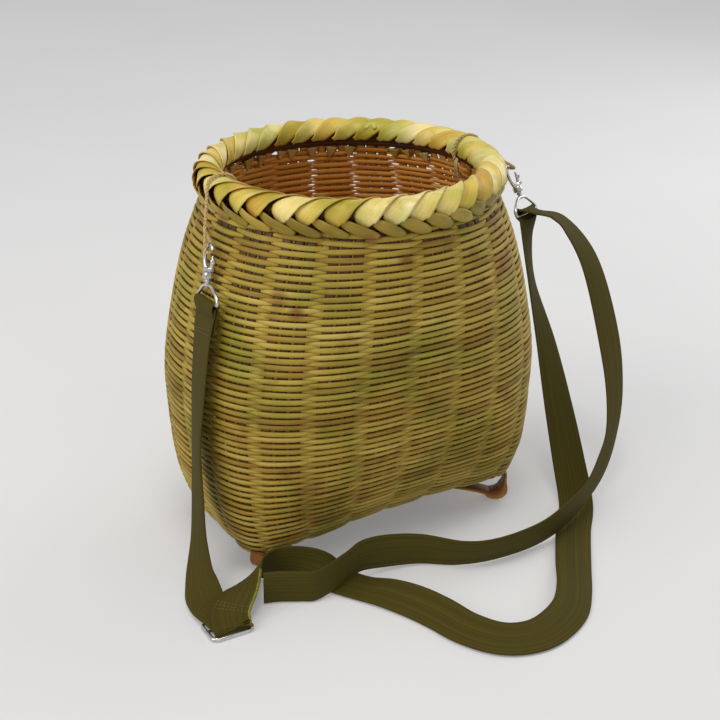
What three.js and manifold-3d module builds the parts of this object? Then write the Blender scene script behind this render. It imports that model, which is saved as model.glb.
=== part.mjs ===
// Woven bamboo fishing creel: a bellied basket on four bent bamboo feet, with a rolled rim,
// two cord loops, two swivel snap hooks and one adjustable webbing strap lying round it.
// Millimetres, +Z up. The origin is on the ground under the middle of the mouth.
// X runs along the long side, and the front of the basket looks towards -Y.
import * as THREE from "three";
import { mergeVertices } from "three/addons/utils/BufferGeometryUtils.js";
import Module from "manifold-3d";

const wasm = await Module();
wasm.setup();

// Basket sizes
const RIM_HEIGHT = 256; // ground to the middle of the rolled rim
const MOUTH_RADIUS = 94.5; // middle of the rolled rim
const BELLY_LENGTH = 258; // widest outside size along X
const BASE_LENGTH = 216; // bottom edge of the weave along X
const BASE_WIDTH = 124; // bottom edge of the weave along Y
const WALL = 3; // woven wall and floor
const WARP_PAIRS = 21; // stake pairs round the basket, each one a soft rib
const RIB_RELIEF = 0.8; // how far the rib stands out or falls back
const FLOOR_HEIGHT = 25; // underside of the woven floor at its middle
const EDGE_CORNER = 15; // bottom edge above the ground at the corners
const EDGE_END = 17; // at the middle of the short ends
const EDGE_FRONT = 25; // at the middle of the long sides, where it arches up
const EDGE_SLOPE = 5.5; // the edge is this much higher at +X and lower at -X
const SEAT_GAP = 0.3; // clearance where two pieces rest on each other

// Rim sizes
const ROLL_RADIUS = 8.3; // half thickness of the wrapped rim
const ROLL_RELIEF = 0.7; // depth of the grooves between its wraps
const ROLL_WRAPS = 36;
const LEAF_HEIGHT = 5; // the row of turned-down strip ends under the roll
const LEAF_THICKNESS = 3;
const LEAF_RELIEF = 0.5;
const BELLY_WIDTH = 2 * (MOUTH_RADIUS + ROLL_RADIUS); // the belly comes out as far as the rim

// Feet sizes
const SKID_WIDTH = 12;
const SKID_THICKNESS = 3.2;
const SKID_LEVEL = 15; // level from the middle to here, where the two skids cross
const SKID_CLEARANCE = 1.2; // from the floor's middle down to the upper skid
const TOE_REACH = 116.5; // middle of the basket to the outside of a toe
const TOE_ANGLE = 27.2; // degrees between a skid and the X axis
const TOE_LENGTH = 15;
const TOE_HEIGHT = 12;

// Cord loop sizes
const LOOP_CORD_RADIUS = 1.3;
const LOOP_HOLE_RADIUS = 2.4;
const LOOP_HOLE_DROP = 23; // middle of the rim down to the hole in the wall
const HOLE_CUT = WALL * 8; // length of the tool that makes the hole

// Strap and hardware sizes
const STRAP_WIDTH = 25;
const STRAP_THICKNESS = 1.5;
const WIRE_RADIUS = 1.5; // D-loop wire
const HOOK_WIRE_RADIUS = 1.6;
const GATE_RADIUS = 1.2;
const BARREL_RADIUS = 3.6;
const BARREL_LENGTH = 5;
const POST_RADIUS = 1.6;
const LOOP_RISE = 12; // D-loop bar up to its shoulder
const HOOK_RISE = 17; // barrel top up to the middle of the hook's bend
const HOOK_HALF = 5; // half width of the hook
const SLIDER_WIDTH = 31;
const SLIDER_LENGTH = 22;
const SLIDER_BAR = 2.6;

// Basket profile from the bottom edge (rise 0) to the top of the wall (rise 1).
// end names the edge that a row starts from, and long and wide say what share of the way
// from that edge's size to the belly's size the row has swollen. corner is the
// superellipse exponent: 2 is an oval, and more is squarer.
const PROFILE = [
  { rise: 0.0, longEnd: "base", long: 0.0, wideEnd: "base", wide: 0.0, corner: 6.0 },
  { rise: 0.05, longEnd: "base", long: 0.33, wideEnd: "base", wide: 0.22, corner: 4.6 },
  { rise: 0.13, longEnd: "base", long: 0.67, wideEnd: "base", wide: 0.46, corner: 3.7 },
  { rise: 0.28, longEnd: "base", long: 0.92, wideEnd: "base", wide: 0.71, corner: 3.0 },
  { rise: 0.45, longEnd: "mouth", long: 1.0, wideEnd: "base", wide: 0.86, corner: 2.7 },
  { rise: 0.65, longEnd: "mouth", long: 0.8, wideEnd: "base", wide: 0.97, corner: 2.4 },
  { rise: 0.82, longEnd: "mouth", long: 0.51, wideEnd: "mouth", wide: 1.0, corner: 2.2 },
  { rise: 0.935, longEnd: "mouth", long: 0.2, wideEnd: "mouth", wide: 0.62, corner: 2.1 },
  { rise: 1.0, longEnd: "mouth", long: 0.0, wideEnd: "mouth", wide: 0.0, corner: 2.0 },
];

// The strap's route: middle of the webbing, then the heading and tilt in degrees of the
// direction across it. Chosen by hand, one row for each bend or twist.
const STRAP_RUNS = {
  strap_left_run: [
    { x: -121, y: -28, z: 189.4, heading: 92, tilt: 0 },
    { x: -127, y: -33, z: 172, heading: 88, tilt: 0 },
    { x: -132, y: -35, z: 140, heading: 85, tilt: 0 },
    { x: -135, y: -34, z: 102, heading: 79, tilt: 0 },
    { x: -136, y: -34, z: 65, heading: 83, tilt: 0 },
    { x: -140, y: -41, z: 30, heading: 92, tilt: -10 },
    { x: -147, y: -56, z: 9, heading: 122, tilt: -18 },
    { x: -151.5, y: -79, z: 4.7, heading: 160, tilt: -7 },
    { x: -150, y: -98, z: 4.2, heading: 180, tilt: 0 },
    { x: -149, y: -111, z: 4.2, heading: 180, tilt: 0 },
  ],
  strap_inner_run: [
    { x: -149, y: -110, z: 6.6, heading: 0, tilt: 0 },
    { x: -144, y: -98, z: 8.2, heading: -14, tilt: 3 },
    { x: -131.5, y: -86.5, z: 12.2, heading: -40, tilt: 14 },
    { x: -120.5, y: -75.5, z: 12.4, heading: -60, tilt: 40 },
    { x: -110, y: -69, z: 12.6, heading: -80, tilt: 62 },
    { x: -96, y: -69, z: 13.4, heading: -110, tilt: 85 },
    { x: -84, y: -75, z: 13.5, heading: 90, tilt: 86 },
    { x: -72, y: -86, z: 10, heading: 66, tilt: 52 },
    { x: -62, y: -97, z: 3.9, heading: 48, tilt: 14 },
    { x: -53, y: -110, z: 2.8, heading: 36, tilt: 7 },
    { x: -43, y: -127, z: 5.4, heading: 20, tilt: 19 },
    { x: -34, y: -146, z: 6.6, heading: 14, tilt: 26 },
    { x: -27, y: -165, z: 6.6, heading: 17, tilt: 26 },
    { x: -21, y: -185, z: 6, heading: 25, tilt: 22 },
    { x: -11, y: -202, z: 5.6, heading: 42, tilt: 20 },
    { x: 1, y: -211, z: 5.4, heading: 62, tilt: 19 },
    { x: 17, y: -214, z: 5.2, heading: 88, tilt: 18 },
    { x: 34, y: -210, z: 5.2, heading: 110, tilt: 18 },
    { x: 52, y: -200, z: 5.2, heading: 127, tilt: 18 },
    { x: 68, y: -183, z: 5.2, heading: 142, tilt: 17 },
    { x: 88, y: -156, z: 3.6, heading: 145, tilt: 7 },
    { x: 115, y: -121, z: 2.2, heading: 138, tilt: 0 },
    { x: 138, y: -94, z: 4.2, heading: 138, tilt: 0 },
    { x: 149, y: -68, z: 27, heading: 160, tilt: 0 },
    { x: 156, y: -43, z: 60, heading: 180, tilt: 0 },
    { x: 158, y: -22, z: 100, heading: 202, tilt: 0 },
    { x: 151.5, y: -9, z: 145, heading: 226, tilt: 0 },
    { x: 147.5, y: -6, z: 178, heading: 221, tilt: 0 },
    { x: 147.5, y: -5, z: 198, heading: 205, tilt: 3 },
  ],
  strap_outer_run: [
    { x: -117, y: -91.5, z: 12.9, heading: 72, tilt: -87 },
    { x: -107, y: -95, z: 12.9, heading: 78, tilt: -86 },
    { x: -95, y: -101.5, z: 12.9, heading: 86, tilt: -85 },
    { x: -84, y: -106, z: 13.3, heading: 90, tilt: -84 },
    { x: -62, y: -103, z: 17.9, heading: 90, tilt: -85 },
    { x: -46, y: -98, z: 19.5, heading: 90, tilt: -88 },
    { x: -24, y: -97, z: 16, heading: -90, tilt: -88 },
    { x: -2, y: -103, z: 13.6, heading: 90, tilt: -85 },
    { x: 20, y: -120, z: 12.9, heading: 85, tilt: -70 },
    { x: 44, y: -127, z: 12.7, heading: 85, tilt: -68 },
    { x: 78, y: -126, z: 13, heading: 85, tilt: -72 },
    { x: 104, y: -121, z: 16.8, heading: 70, tilt: -75 },
    { x: 133, y: -108, z: 20, heading: 60, tilt: -70 },
    { x: 157, y: -95.5, z: 30.2, heading: 31, tilt: -60 },
    { x: 175.5, y: -83, z: 47, heading: 27, tilt: -43 },
    { x: 189, y: -67, z: 75, heading: 16, tilt: -25 },
    { x: 197, y: -45, z: 112, heading: 16, tilt: 0 },
    { x: 192.5, y: -25, z: 160, heading: 24, tilt: 0 },
    { x: 176, y: -14, z: 190, heading: 48, tilt: 4 },
    { x: 160, y: -8, z: 200.5, heading: 72, tilt: -8 },
  ],
};

const MATERIALS = {
  bamboo_weave: { color: 0x8a7c3c, roughness: 0.65, metalness: 0 },
  rim_strip: { color: 0xd2c07a, roughness: 0.5, metalness: 0 },
  leaf_strip: { color: 0x94924a, roughness: 0.55, metalness: 0 },
  foot_bamboo: { color: 0x9a6a2c, roughness: 0.5, metalness: 0 },
  jute_cord: { color: 0xb79f72, roughness: 0.9, metalness: 0 },
  webbing: { color: 0x524d22, roughness: 0.8, metalness: 0 },
  nickel: { color: 0xc9ccd0, roughness: 0.25, metalness: 1 },
};

// How each hook hangs: the direction from the D-loop's bar up to the hook's bend, the
// direction along the bar, the bar's drop below the rim's middle, how far it hangs forward,
// and how far the bar and the bend stand out from the wall's end beside them.
const HOOKS = {
  left: { side: -1, up: [0.2, 0.22, 0.955], across: [0.035, -1, 0], drop: 63.6, forward: 27.6, barOut: 2.7, bendOut: 7.5 },
  right: { side: 1, up: [-0.166, 0.458, 0.873], across: [0.906, 0.423, -0.05], drop: 54.4, forward: 2.4, barOut: 31.6, bendOut: 36 },
};

// The strap's route was laid with the bars this far out, round a basket this wide.
const ROUTE = { left: 120.3, right: 147.6, width: 206 };

const creel = new THREE.Group();

function addMesh(name, geometry, materialName) {
  const settings = MATERIALS[materialName];
  const mesh = new THREE.Mesh(geometry, new THREE.MeshStandardMaterial(settings));
  mesh.name = name;
  creel.add(mesh);
  return mesh;
}

const radians = THREE.MathUtils.degToRad;
const vector = (x, y, z) => new THREE.Vector3(x, y, z);

// Smooth value of one column of a table, at a share between its first and last rows.
function smoothColumn(rows, valueOf, rise) {
  const last = rows.length - 1;
  let i = 0;
  while (i < last - 1 && rows[i + 1].rise <= rise) i += 1;
  const slope = (k) => {
    const before = Math.max(k - 1, 0);
    const after = Math.min(k + 1, last);
    return (valueOf(rows[after]) - valueOf(rows[before])) / (rows[after].rise - rows[before].rise);
  };
  const span = rows[i + 1].rise - rows[i].rise;
  const t = (rise - rows[i].rise) / span;
  const [t2, t3] = [t * t, t * t * t];
  return (
    (2 * t3 - 3 * t2 + 1) * valueOf(rows[i]) +
    (t3 - 2 * t2 + t) * span * slope(i) +
    (3 * t2 - 2 * t3) * valueOf(rows[i + 1]) +
    (t3 - t2) * span * slope(i + 1)
  );
}

// Six times the volume inside the faces, negative when they point inwards
function signedVolume(points, faces) {
  let sum = 0;
  for (let i = 0; i < faces.length; i += 3) {
    const [a, b, c] = [points[faces[i]], points[faces[i + 1]], points[faces[i + 2]]];
    sum += a.dot(b.clone().cross(c));
  }
  return sum;
}

// A closed solid through rings of points. A looped one joins its last ring to its first,
// and an open one is closed by a fan at each end. Its two halves are split along matching
// diagonals, so that a twisted band keeps its thickness.
function loft(rings, looped) {
  const count = rings[0].length;
  const points = rings.flat();
  const faces = [];
  const quads = looped ? rings.length : rings.length - 1;
  for (let i = 0; i < quads; i += 1) {
    const [a, b] = [i * count, ((i + 1) % rings.length) * count];
    for (let j = 0; j < count; j += 1) {
      const k = (j + 1) % count;
      if (2 * j < count) faces.push(a + j, a + k, b + k, a + j, b + k, b + j);
      else faces.push(a + j, a + k, b + j, a + k, b + k, b + j);
    }
  }
  if (!looped) {
    const middle = (ring) => ring.reduce((sum, p) => sum.add(p), vector(0, 0, 0)).divideScalar(count);
    const start = points.push(middle(rings[0])) - 1;
    const end = points.push(middle(rings.at(-1))) - 1;
    const lastRing = (rings.length - 1) * count;
    for (let j = 0; j < count; j += 1) {
      const k = (j + 1) % count;
      faces.push(start, k, j, end, lastRing + j, lastRing + k);
    }
  }
  if (signedVolume(points, faces) < 0) faces.reverse();
  const geometry = new THREE.BufferGeometry().setFromPoints(points);
  geometry.setIndex(faces);
  return geometry;
}

// Booleans on closed geometries
function toSolid(geometry) {
  const bare = geometry.clone();
  for (const extra of ["normal", "uv"]) bare.deleteAttribute(extra);
  const merged = mergeVertices(bare, 1e-4);
  const mesh = { numProp: 3, vertProperties: merged.attributes.position.array, triVerts: merged.index.array };
  mesh.triVerts = new Uint32Array(mesh.triVerts);
  return new wasm.Manifold(new wasm.Mesh(mesh));
}

function fromSolid(solid) {
  const mesh = solid.getMesh();
  const geometry = new THREE.BufferGeometry();
  geometry.setAttribute("position", new THREE.BufferAttribute(new Float32Array(mesh.vertProperties), 3));
  geometry.setIndex(new THREE.BufferAttribute(new Uint32Array(mesh.triVerts), 1));
  return geometry;
}

const joined = (parts) => fromSolid(parts.map(toSolid).reduce((sum, part) => sum.add(part)));

// Basket wall
const WALL_TOP = RIM_HEIGHT - ROLL_RADIUS - ROLL_RELIEF - SEAT_GAP;
const LEAF_TOP = WALL_TOP - SEAT_GAP;
const HALVES = {
  base: { long: BASE_LENGTH / 2, wide: BASE_WIDTH / 2 },
  belly: { long: BELLY_LENGTH / 2, wide: BELLY_WIDTH / 2 },
  mouth: { long: MOUTH_RADIUS + WALL, wide: MOUTH_RADIUS + WALL },
};
const RING_STEPS = WARP_PAIRS * 4;

function wallSection(rise) {
  const size = (key) => (row) =>
    THREE.MathUtils.lerp(HALVES[row[key + "End"]][key], HALVES.belly[key], row[key]);
  return {
    long: smoothColumn(PROFILE, size("long"), rise),
    wide: smoothColumn(PROFILE, size("wide"), rise),
    corner: smoothColumn(PROFILE, (row) => row.corner, rise),
  };
}

// Points evenly spaced round a superellipse, each with its outward direction.
function sectionPoints({ long, wide, corner }) {
  const fine = 1440;
  const dense = [];
  for (let i = 0; i <= fine; i += 1) {
    const angle = (2 * Math.PI * i) / fine;
    const [c, s] = [Math.cos(angle), Math.sin(angle)];
    const reach = (Math.abs(c / long) ** corner + Math.abs(s / wide) ** corner) ** (-1 / corner);
    dense.push({ x: reach * c, y: reach * s });
  }
  const along = [0];
  for (let i = 1; i <= fine; i += 1) {
    along.push(along[i - 1] + Math.hypot(dense[i].x - dense[i - 1].x, dense[i].y - dense[i - 1].y));
  }
  const points = [];
  let i = 0;
  for (let j = 0; j < RING_STEPS; j += 1) {
    const target = (along[fine] * j) / RING_STEPS;
    while (along[i + 1] < target) i += 1;
    const t = (target - along[i]) / (along[i + 1] - along[i]);
    const x = THREE.MathUtils.lerp(dense[i].x, dense[i + 1].x, t);
    const y = THREE.MathUtils.lerp(dense[i].y, dense[i + 1].y, t);
    const normal = new THREE.Vector2(
      (Math.sign(x) * Math.abs(x / long) ** (corner - 1)) / long,
      (Math.sign(y) * Math.abs(y / wide) ** (corner - 1)) / wide,
    ).normalize();
    points.push({ x, y, normal, turn: Math.atan2(y / wide, x / long) });
  }
  return points;
}

// The bottom edge is drawn down at the corners and arches up along the long sides.
function edgeHeight(turn) {
  const side = Math.cos(2 * turn);
  const lift = side > 0 ? (EDGE_END - EDGE_CORNER) * side : (EDGE_FRONT - EDGE_CORNER) * (-side) ** 0.6;
  return EDGE_CORNER + lift + EDGE_SLOPE * Math.cos(turn);
}

// The rows hang parallel to the bottom edge low down and run level from here up.
const DRAPE_END = 0.4;

function wallRing(rise, inset, ribbed) {
  const level = FLOOR_HEIGHT + rise * (WALL_TOP - FLOOR_HEIGHT);
  const drape = Math.max(0, 1 - rise / DRAPE_END) ** 2;
  return sectionPoints(wallSection(rise)).map(({ x, y, normal, turn }, j) => {
    const rib = ribbed ? RIB_RELIEF * Math.cos((2 * Math.PI * WARP_PAIRS * j) / RING_STEPS) : 0;
    const out = rib - inset;
    const z = level + drape * (edgeHeight(turn) - FLOOR_HEIGHT);
    return vector(x + normal.x * out, y + normal.y * out, z);
  });
}

// The woven floor spans the bottom edge, and its middle sits at floor height.
function floorRing(share, inset, lift) {
  return wallRing(0, inset, false).map((p) => {
    const z = THREE.MathUtils.lerp(FLOOR_HEIGHT, p.z, share * share) + lift;
    return vector(p.x * share, p.y * share, z);
  });
}

const WALL_RISES = [0, 0.03, 0.07, 0.13, 0.21, 0.3, 0.41, 0.53, 0.65, 0.76, 0.86, 0.94, 1];
const INNER_RISES = [0.05, 0.13, 0.24, 0.38, 0.53, 0.7, 0.86, 1];
const FLOOR_SHARES = [0.3, 0.65, 0.9];

function basketWall() {
  const rings = [
    ...FLOOR_SHARES.map((share) => floorRing(share, 0, 0)),
    ...WALL_RISES.map((rise) => wallRing(rise, 0, true)),
    ...INNER_RISES.slice().reverse().map((rise) => wallRing(rise, WALL, false)),
    ...FLOOR_SHARES.slice().reverse().map((share) => floorRing(share, WALL, WALL)),
  ];
  return loft(rings, false);
}

// Height above the ground to a share of the way up the wall
const riseAt = (height) => (height - FLOOR_HEIGHT) / (WALL_TOP - FLOOR_HEIGHT);

// A hole where a cord loop comes out through the weave, at one end of the mouth.
function loopHole(side) {
  const cutter = new THREE.CylinderGeometry(LOOP_HOLE_RADIUS, LOOP_HOLE_RADIUS, HOLE_CUT, 12);
  cutter.rotateZ(Math.PI / 2);
  cutter.translate(side * (MOUTH_RADIUS + WALL * 2), 0, RIM_HEIGHT - LOOP_HOLE_DROP);
  return toSolid(cutter);
}

const pierced = toSolid(basketWall()).subtract(loopHole(1)).subtract(loopHole(-1));
addMesh("basket_body", fromSolid(pierced), "bamboo_weave");

// Rim: a ring of wrapped strips, and the row of strip ends turned down outside the wall
function ringOfStrips(steps, sides, pointAt) {
  const rings = [];
  for (let i = 0; i < steps; i += 1) {
    const turn = (2 * Math.PI * i) / steps;
    const ring = [];
    for (let k = 0; k < sides; k += 1) {
      const { reach, height } = pointAt(turn, (2 * Math.PI * k) / sides);
      ring.push(vector(reach * Math.cos(turn), reach * Math.sin(turn), height));
    }
    rings.push(ring);
  }
  return loft(rings, true);
}

const rimRoll = ringOfStrips(ROLL_WRAPS * 2, 8, (turn, around) => {
  const radius = ROLL_RADIUS + ROLL_RELIEF * Math.cos(ROLL_WRAPS * turn + 1.4 * Math.sin(around));
  return {
    reach: MOUTH_RADIUS + radius * Math.cos(around),
    height: RIM_HEIGHT + radius * Math.sin(around),
  };
});
addMesh("rim_roll", rimRoll, "rim_strip");

// Corners of the row's section: out from the wall's ribs, and down from the row's top at the
// wall. Its outer edge turns up under the roll.
const LEAF_SECTION = [
  { out: 0, down: LEAF_HEIGHT },
  { out: LEAF_THICKNESS * 0.5, down: LEAF_HEIGHT, leafy: true },
  { out: LEAF_THICKNESS, down: LEAF_HEIGHT * 0.5, leafy: true },
  { out: LEAF_THICKNESS * 1.3, down: -LEAF_HEIGHT * 0.1, leafy: true },
  { out: LEAF_THICKNESS, down: -LEAF_HEIGHT * 0.4 },
  { out: 0, down: 0 },
];
const LEAF_CLEAR = RIB_RELIEF + SEAT_GAP;

const leafRings = LEAF_SECTION.map(({ out, down, leafy }) => {
  const height = LEAF_TOP - down;
  return sectionPoints(wallSection(riseAt(height))).map(({ x, y, normal }, j) => {
    const reach = LEAF_CLEAR + out + (leafy ? LEAF_RELIEF * (-1) ** j : 0);
    return vector(x + normal.x * reach, y + normal.y * reach, height);
  });
});
addMesh("rim_leaf_row", loft(leafRings, true), "leaf_strip");

// Feet: two bamboo strips cross under the floor and end in four bent toes. s runs along
// the strip, and each leg reaches up to the bottom edge of the weave.
function skidOutline(barMiddle, legTops) {
  const half = SKID_THICKNESS / 2;
  const shape = new THREE.Shape();
  const inner = TOE_REACH - TOE_LENGTH;
  const toe = (e, steps) => steps.forEach(([s, z]) => shape.lineTo(e * s, z));
  const bend = 5;
  const under = [
    [inner - 8, TOE_HEIGHT - 2 - 2 * half],
    [inner, 2.5],
    [inner + 4, 0],
    [TOE_REACH - bend, 0],
    [TOE_REACH - bend * 0.3, bend * 0.3],
    [TOE_REACH, bend],
  ];
  const over = (top) => [
    [TOE_REACH, top],
    [TOE_REACH - SKID_THICKNESS, top],
    [TOE_REACH - SKID_THICKNESS, Math.min(TOE_HEIGHT, top - 1)],
    [inner + 2, Math.min(TOE_HEIGHT, top - 1) - 1],
    [inner - 8, TOE_HEIGHT - 2],
  ];
  shape.moveTo(-SKID_LEVEL, barMiddle - half);
  shape.lineTo(SKID_LEVEL, barMiddle - half);
  toe(1, under);
  toe(1, over(legTops.right));
  shape.lineTo(SKID_LEVEL, barMiddle + half);
  shape.lineTo(-SKID_LEVEL, barMiddle + half);
  toe(-1, over(legTops.left).reverse());
  toe(-1, under.slice().reverse());
  shape.closePath();
  return shape;
}

// Bottom edge of the weave over a toe
function edgeOverToe(side) {
  return EDGE_CORNER + side * EDGE_SLOPE * Math.cos(Math.PI / 4) - SEAT_GAP;
}

const SKIDS = [
  { name: "foot_skid_lower", turn: TOE_ANGLE, drop: SKID_CLEARANCE + 1.5 * SKID_THICKNESS + SEAT_GAP },
  { name: "foot_skid_upper", turn: -TOE_ANGLE, drop: SKID_CLEARANCE + 0.5 * SKID_THICKNESS },
];
const LEG_LEAN = 1.5; // the edge rises a little across the width of a leg

for (const { name, turn, drop } of SKIDS) {
  const legTops = { left: edgeOverToe(-1) - LEG_LEAN, right: edgeOverToe(1) - LEG_LEAN };
  const outline = skidOutline(FLOOR_HEIGHT - drop, legTops);
  const strip = new THREE.ExtrudeGeometry(outline, { depth: SKID_WIDTH, bevelEnabled: false });
  strip.translate(0, 0, -SKID_WIDTH / 2);
  strip.rotateX(Math.PI / 2);
  strip.rotateZ(radians(turn));
  addMesh(name, strip, "foot_bamboo");
}

// A round tube along a curve: a closed loop, or a rod with flat ends
function tube(points, radius, { steps, sides = 8, looped = false }) {
  const curve = new THREE.CatmullRomCurve3(points, looped, "centripetal");
  const frames = curve.computeFrenetFrames(steps, looped);
  const rings = [];
  const ringCount = looped ? steps : steps + 1;
  for (let i = 0; i < ringCount; i += 1) {
    const middle = curve.getPointAt(i / steps);
    const ring = [];
    for (let k = 0; k < sides; k += 1) {
      const angle = (2 * Math.PI * k) / sides;
      const spoke = frames.normals[i].clone().multiplyScalar(Math.cos(angle) * radius);
      spoke.addScaledVector(frames.binormals[i], Math.sin(angle) * radius);
      ring.push(middle.clone().add(spoke));
    }
    rings.push(ring);
  }
  return loft(rings, looped);
}

function cylinder(radius, low, high, sides = 14) {
  const rod = new THREE.CylinderGeometry(radius, radius, high - low, sides);
  rod.rotateX(Math.PI / 2);
  return rod.translate(0, 0, (low + high) / 2);
}

const LOOP_HALF = STRAP_WIDTH / 2 + WIRE_RADIUS + 0.6;
const POST_TOP = LOOP_RISE + WIRE_RADIUS + 2;
const BARREL_LOW = POST_TOP + SEAT_GAP;
const BARREL_HIGH = BARREL_LOW + BARREL_LENGTH;
const BEND_HEIGHT = BARREL_HIGH + HOOK_RISE;
const PIVOT = vector(HOOK_HALF - 0.8, 0, BARREL_HIGH + GATE_RADIUS + SEAT_GAP);
const CORD_SEAT = BEND_HEIGHT - HOOK_WIRE_RADIUS - LOOP_CORD_RADIUS - SEAT_GAP;

// The wall's end beside a point this far below the rim's middle
const wallEnd = (drop) => wallSection(riseAt(RIM_HEIGHT - drop)).long;

// The bar's distance out along X, so that the bar and the bend both clear the wall
function barReach({ side, up, drop, barOut, bendOut }) {
  const z = vector(...up).normalize();
  const bendDrop = drop - z.z * BEND_HEIGHT;
  return Math.max(wallEnd(drop) + barOut, wallEnd(bendDrop) + bendOut - side * z.x * BEND_HEIGHT);
}

// Hook frame: x along the D-loop's bar, z from the bar up to the bend
function hookFrame(hook) {
  const z = vector(...hook.up).normalize();
  const x = vector(...hook.across);
  x.addScaledVector(z, -x.dot(z)).normalize();
  const y = z.clone().cross(x);
  const frame = new THREE.Matrix4().makeBasis(x, y, z);
  return frame.setPosition(hook.side * barReach(hook), -hook.forward, RIM_HEIGHT - hook.drop);
}

function dLoop() {
  const outline = [
    [-LOOP_HALF + 1.2, 0],
    [0, 0],
    [LOOP_HALF - 1.2, 0],
    [LOOP_HALF, 1.6],
    [LOOP_HALF * 0.88, 5],
    [LOOP_HALF * 0.45, LOOP_RISE - 1.6],
    [0, LOOP_RISE],
    [-LOOP_HALF * 0.45, LOOP_RISE - 1.6],
    [-LOOP_HALF * 0.88, 5],
    [-LOOP_HALF, 1.6],
  ];
  const ring = tube(outline.map(([x, z]) => vector(x, 0, z)), WIRE_RADIUS, { steps: 32, sides: 6, looped: true });
  return joined([ring, cylinder(POST_RADIUS, LOOP_RISE - 0.4, POST_TOP)]);
}

function snapHook() {
  const back = [
    [-HOOK_HALF * 0.5, BARREL_HIGH - 1],
    [-HOOK_HALF * 0.92, BARREL_HIGH + HOOK_RISE * 0.22],
    [-HOOK_HALF * 1.08, BARREL_HIGH + HOOK_RISE * 0.6],
    [-HOOK_HALF * 0.6, BEND_HEIGHT - 1.6],
    [0, BEND_HEIGHT],
    [HOOK_HALF * 0.65, BEND_HEIGHT - 1.2],
    [HOOK_HALF, BEND_HEIGHT - 3.6],
  ];
  const wire = tube(back.map(([x, z]) => vector(x, 0, z)), HOOK_WIRE_RADIUS, { steps: 20 });
  return joined([wire, cylinder(BARREL_RADIUS, BARREL_LOW, BARREL_HIGH)]);
}

function gateLever() {
  const tip = vector(HOOK_HALF, 0, BEND_HEIGHT - 3.6 - HOOK_WIRE_RADIUS - SEAT_GAP);
  const lever = tube([PIVOT, PIVOT.clone().lerp(tip, 0.5), tip], GATE_RADIUS, { steps: 4 });
  const thumb = new THREE.SphereGeometry(GATE_RADIUS * 1.5, 10, 6);
  thumb.translate(PIVOT.x + GATE_RADIUS, 0, PIVOT.z + HOOK_RISE * 0.28);
  return joined([lever, thumb]);
}

for (const [side, hook] of Object.entries(HOOKS)) {
  const frame = hookFrame(hook);
  const place = (name, geometry) => addMesh(`hook_${side}_${name}`, geometry, "nickel").applyMatrix4(frame);
  place("d_loop", dLoop());
  place("body", snapHook());
  place("gate", gateLever());
}

// The row of strip ends is this far from the mouth's middle at its ends.
const LEAF_OUTSIDE = Math.max(...leafRings.flat().map((p) => p.x));

// Cord loops: over the roll, down inside, out through the hole in the weave, and through
// the hook. The strands part round the wall and the row of strip ends.
function cordLoop(hook) {
  const frame = hookFrame(hook);
  const side = hook.side;
  const seat = vector(0, 0, CORD_SEAT).applyMatrix4(frame);
  const lean = vector(0, 1, 0).transformDirection(frame);
  if (lean.x * side < 0) lean.negate();
  const beyond = LOOP_CORD_RADIUS + SEAT_GAP;
  const clear = ROLL_RADIUS + ROLL_RELIEF + beyond;
  const holeX = MOUTH_RADIUS + WALL + 6;
  const holeZ = RIM_HEIGHT - LOOP_HOLE_DROP;
  const outX = LEAF_OUTSIDE + beyond + 1.4;
  const through = seat.clone().addScaledVector(lean, 3);
  const behind = seat.clone().addScaledVector(lean, -3);
  return [
    through,
    vector(side * (outX + 0.8), seat.y * 0.25, RIM_HEIGHT - 1),
    vector(side * (MOUTH_RADIUS + clear * 0.78), 0, RIM_HEIGHT + clear * 0.72),
    vector(side * MOUTH_RADIUS, 0, RIM_HEIGHT + clear + 0.2),
    vector(side * (MOUTH_RADIUS - clear * 0.78), 0, RIM_HEIGHT + clear * 0.72),
    vector(side * (MOUTH_RADIUS - clear - 0.4), 0, RIM_HEIGHT - 2),
    vector(side * (MOUTH_RADIUS - clear * 0.5), 0, holeZ + 6),
    vector(side * (holeX - 5), 0, holeZ + 0.4),
    vector(side * holeX, 0, holeZ),
    vector(side * (holeX + 4), 0, holeZ - 0.4),
    behind,
  ];
}

for (const [side, hook] of Object.entries(HOOKS)) {
  const loop = tube(cordLoop(hook), LOOP_CORD_RADIUS, { steps: 44, sides: 6, looped: true });
  addMesh(`cord_loop_${side}`, loop, "jute_cord");
}

// Webbing: a flat band that follows a run's rows
const STEPS_PER_ROW = 3;
const SPREAD = {
  left: barReach(HOOKS.left) / ROUTE.left,
  right: barReach(HOOKS.right) / ROUTE.right,
  width: BELLY_WIDTH / ROUTE.width,
};

// A row's place beside this basket: the route spreads with the hooks and the belly.
function routePoint({ x, y, z }) {
  return vector(x * (x < 0 ? SPREAD.left : SPREAD.right), y * SPREAD.width, z);
}

function acrossOf({ heading, tilt }) {
  const [h, t] = [radians(heading), radians(tilt)];
  return vector(Math.cos(h) * Math.cos(t), Math.sin(h) * Math.cos(t), Math.sin(t));
}

function webbing(rows) {
  const middles = new THREE.CatmullRomCurve3(rows.map(routePoint));
  const acrosses = new THREE.CatmullRomCurve3(rows.map(acrossOf));
  const steps = (rows.length - 1) * STEPS_PER_ROW;
  const rings = [];
  for (let i = 0; i <= steps; i += 1) {
    const middle = middles.getPoint(i / steps);
    const along = middles.getTangent(i / steps);
    const across = acrosses.getPoint(i / steps);
    across.addScaledVector(along, -across.dot(along)).normalize();
    const face = along.clone().cross(across);
    const corner = (w, t) =>
      middle.clone().addScaledVector(across, (w * STRAP_WIDTH) / 2).addScaledVector(face, (t * STRAP_THICKNESS) / 2);
    rings.push([corner(1, -1), corner(1, 1), corner(-1, 1), corner(-1, -1)]);
  }
  return loft(rings, false);
}

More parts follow.
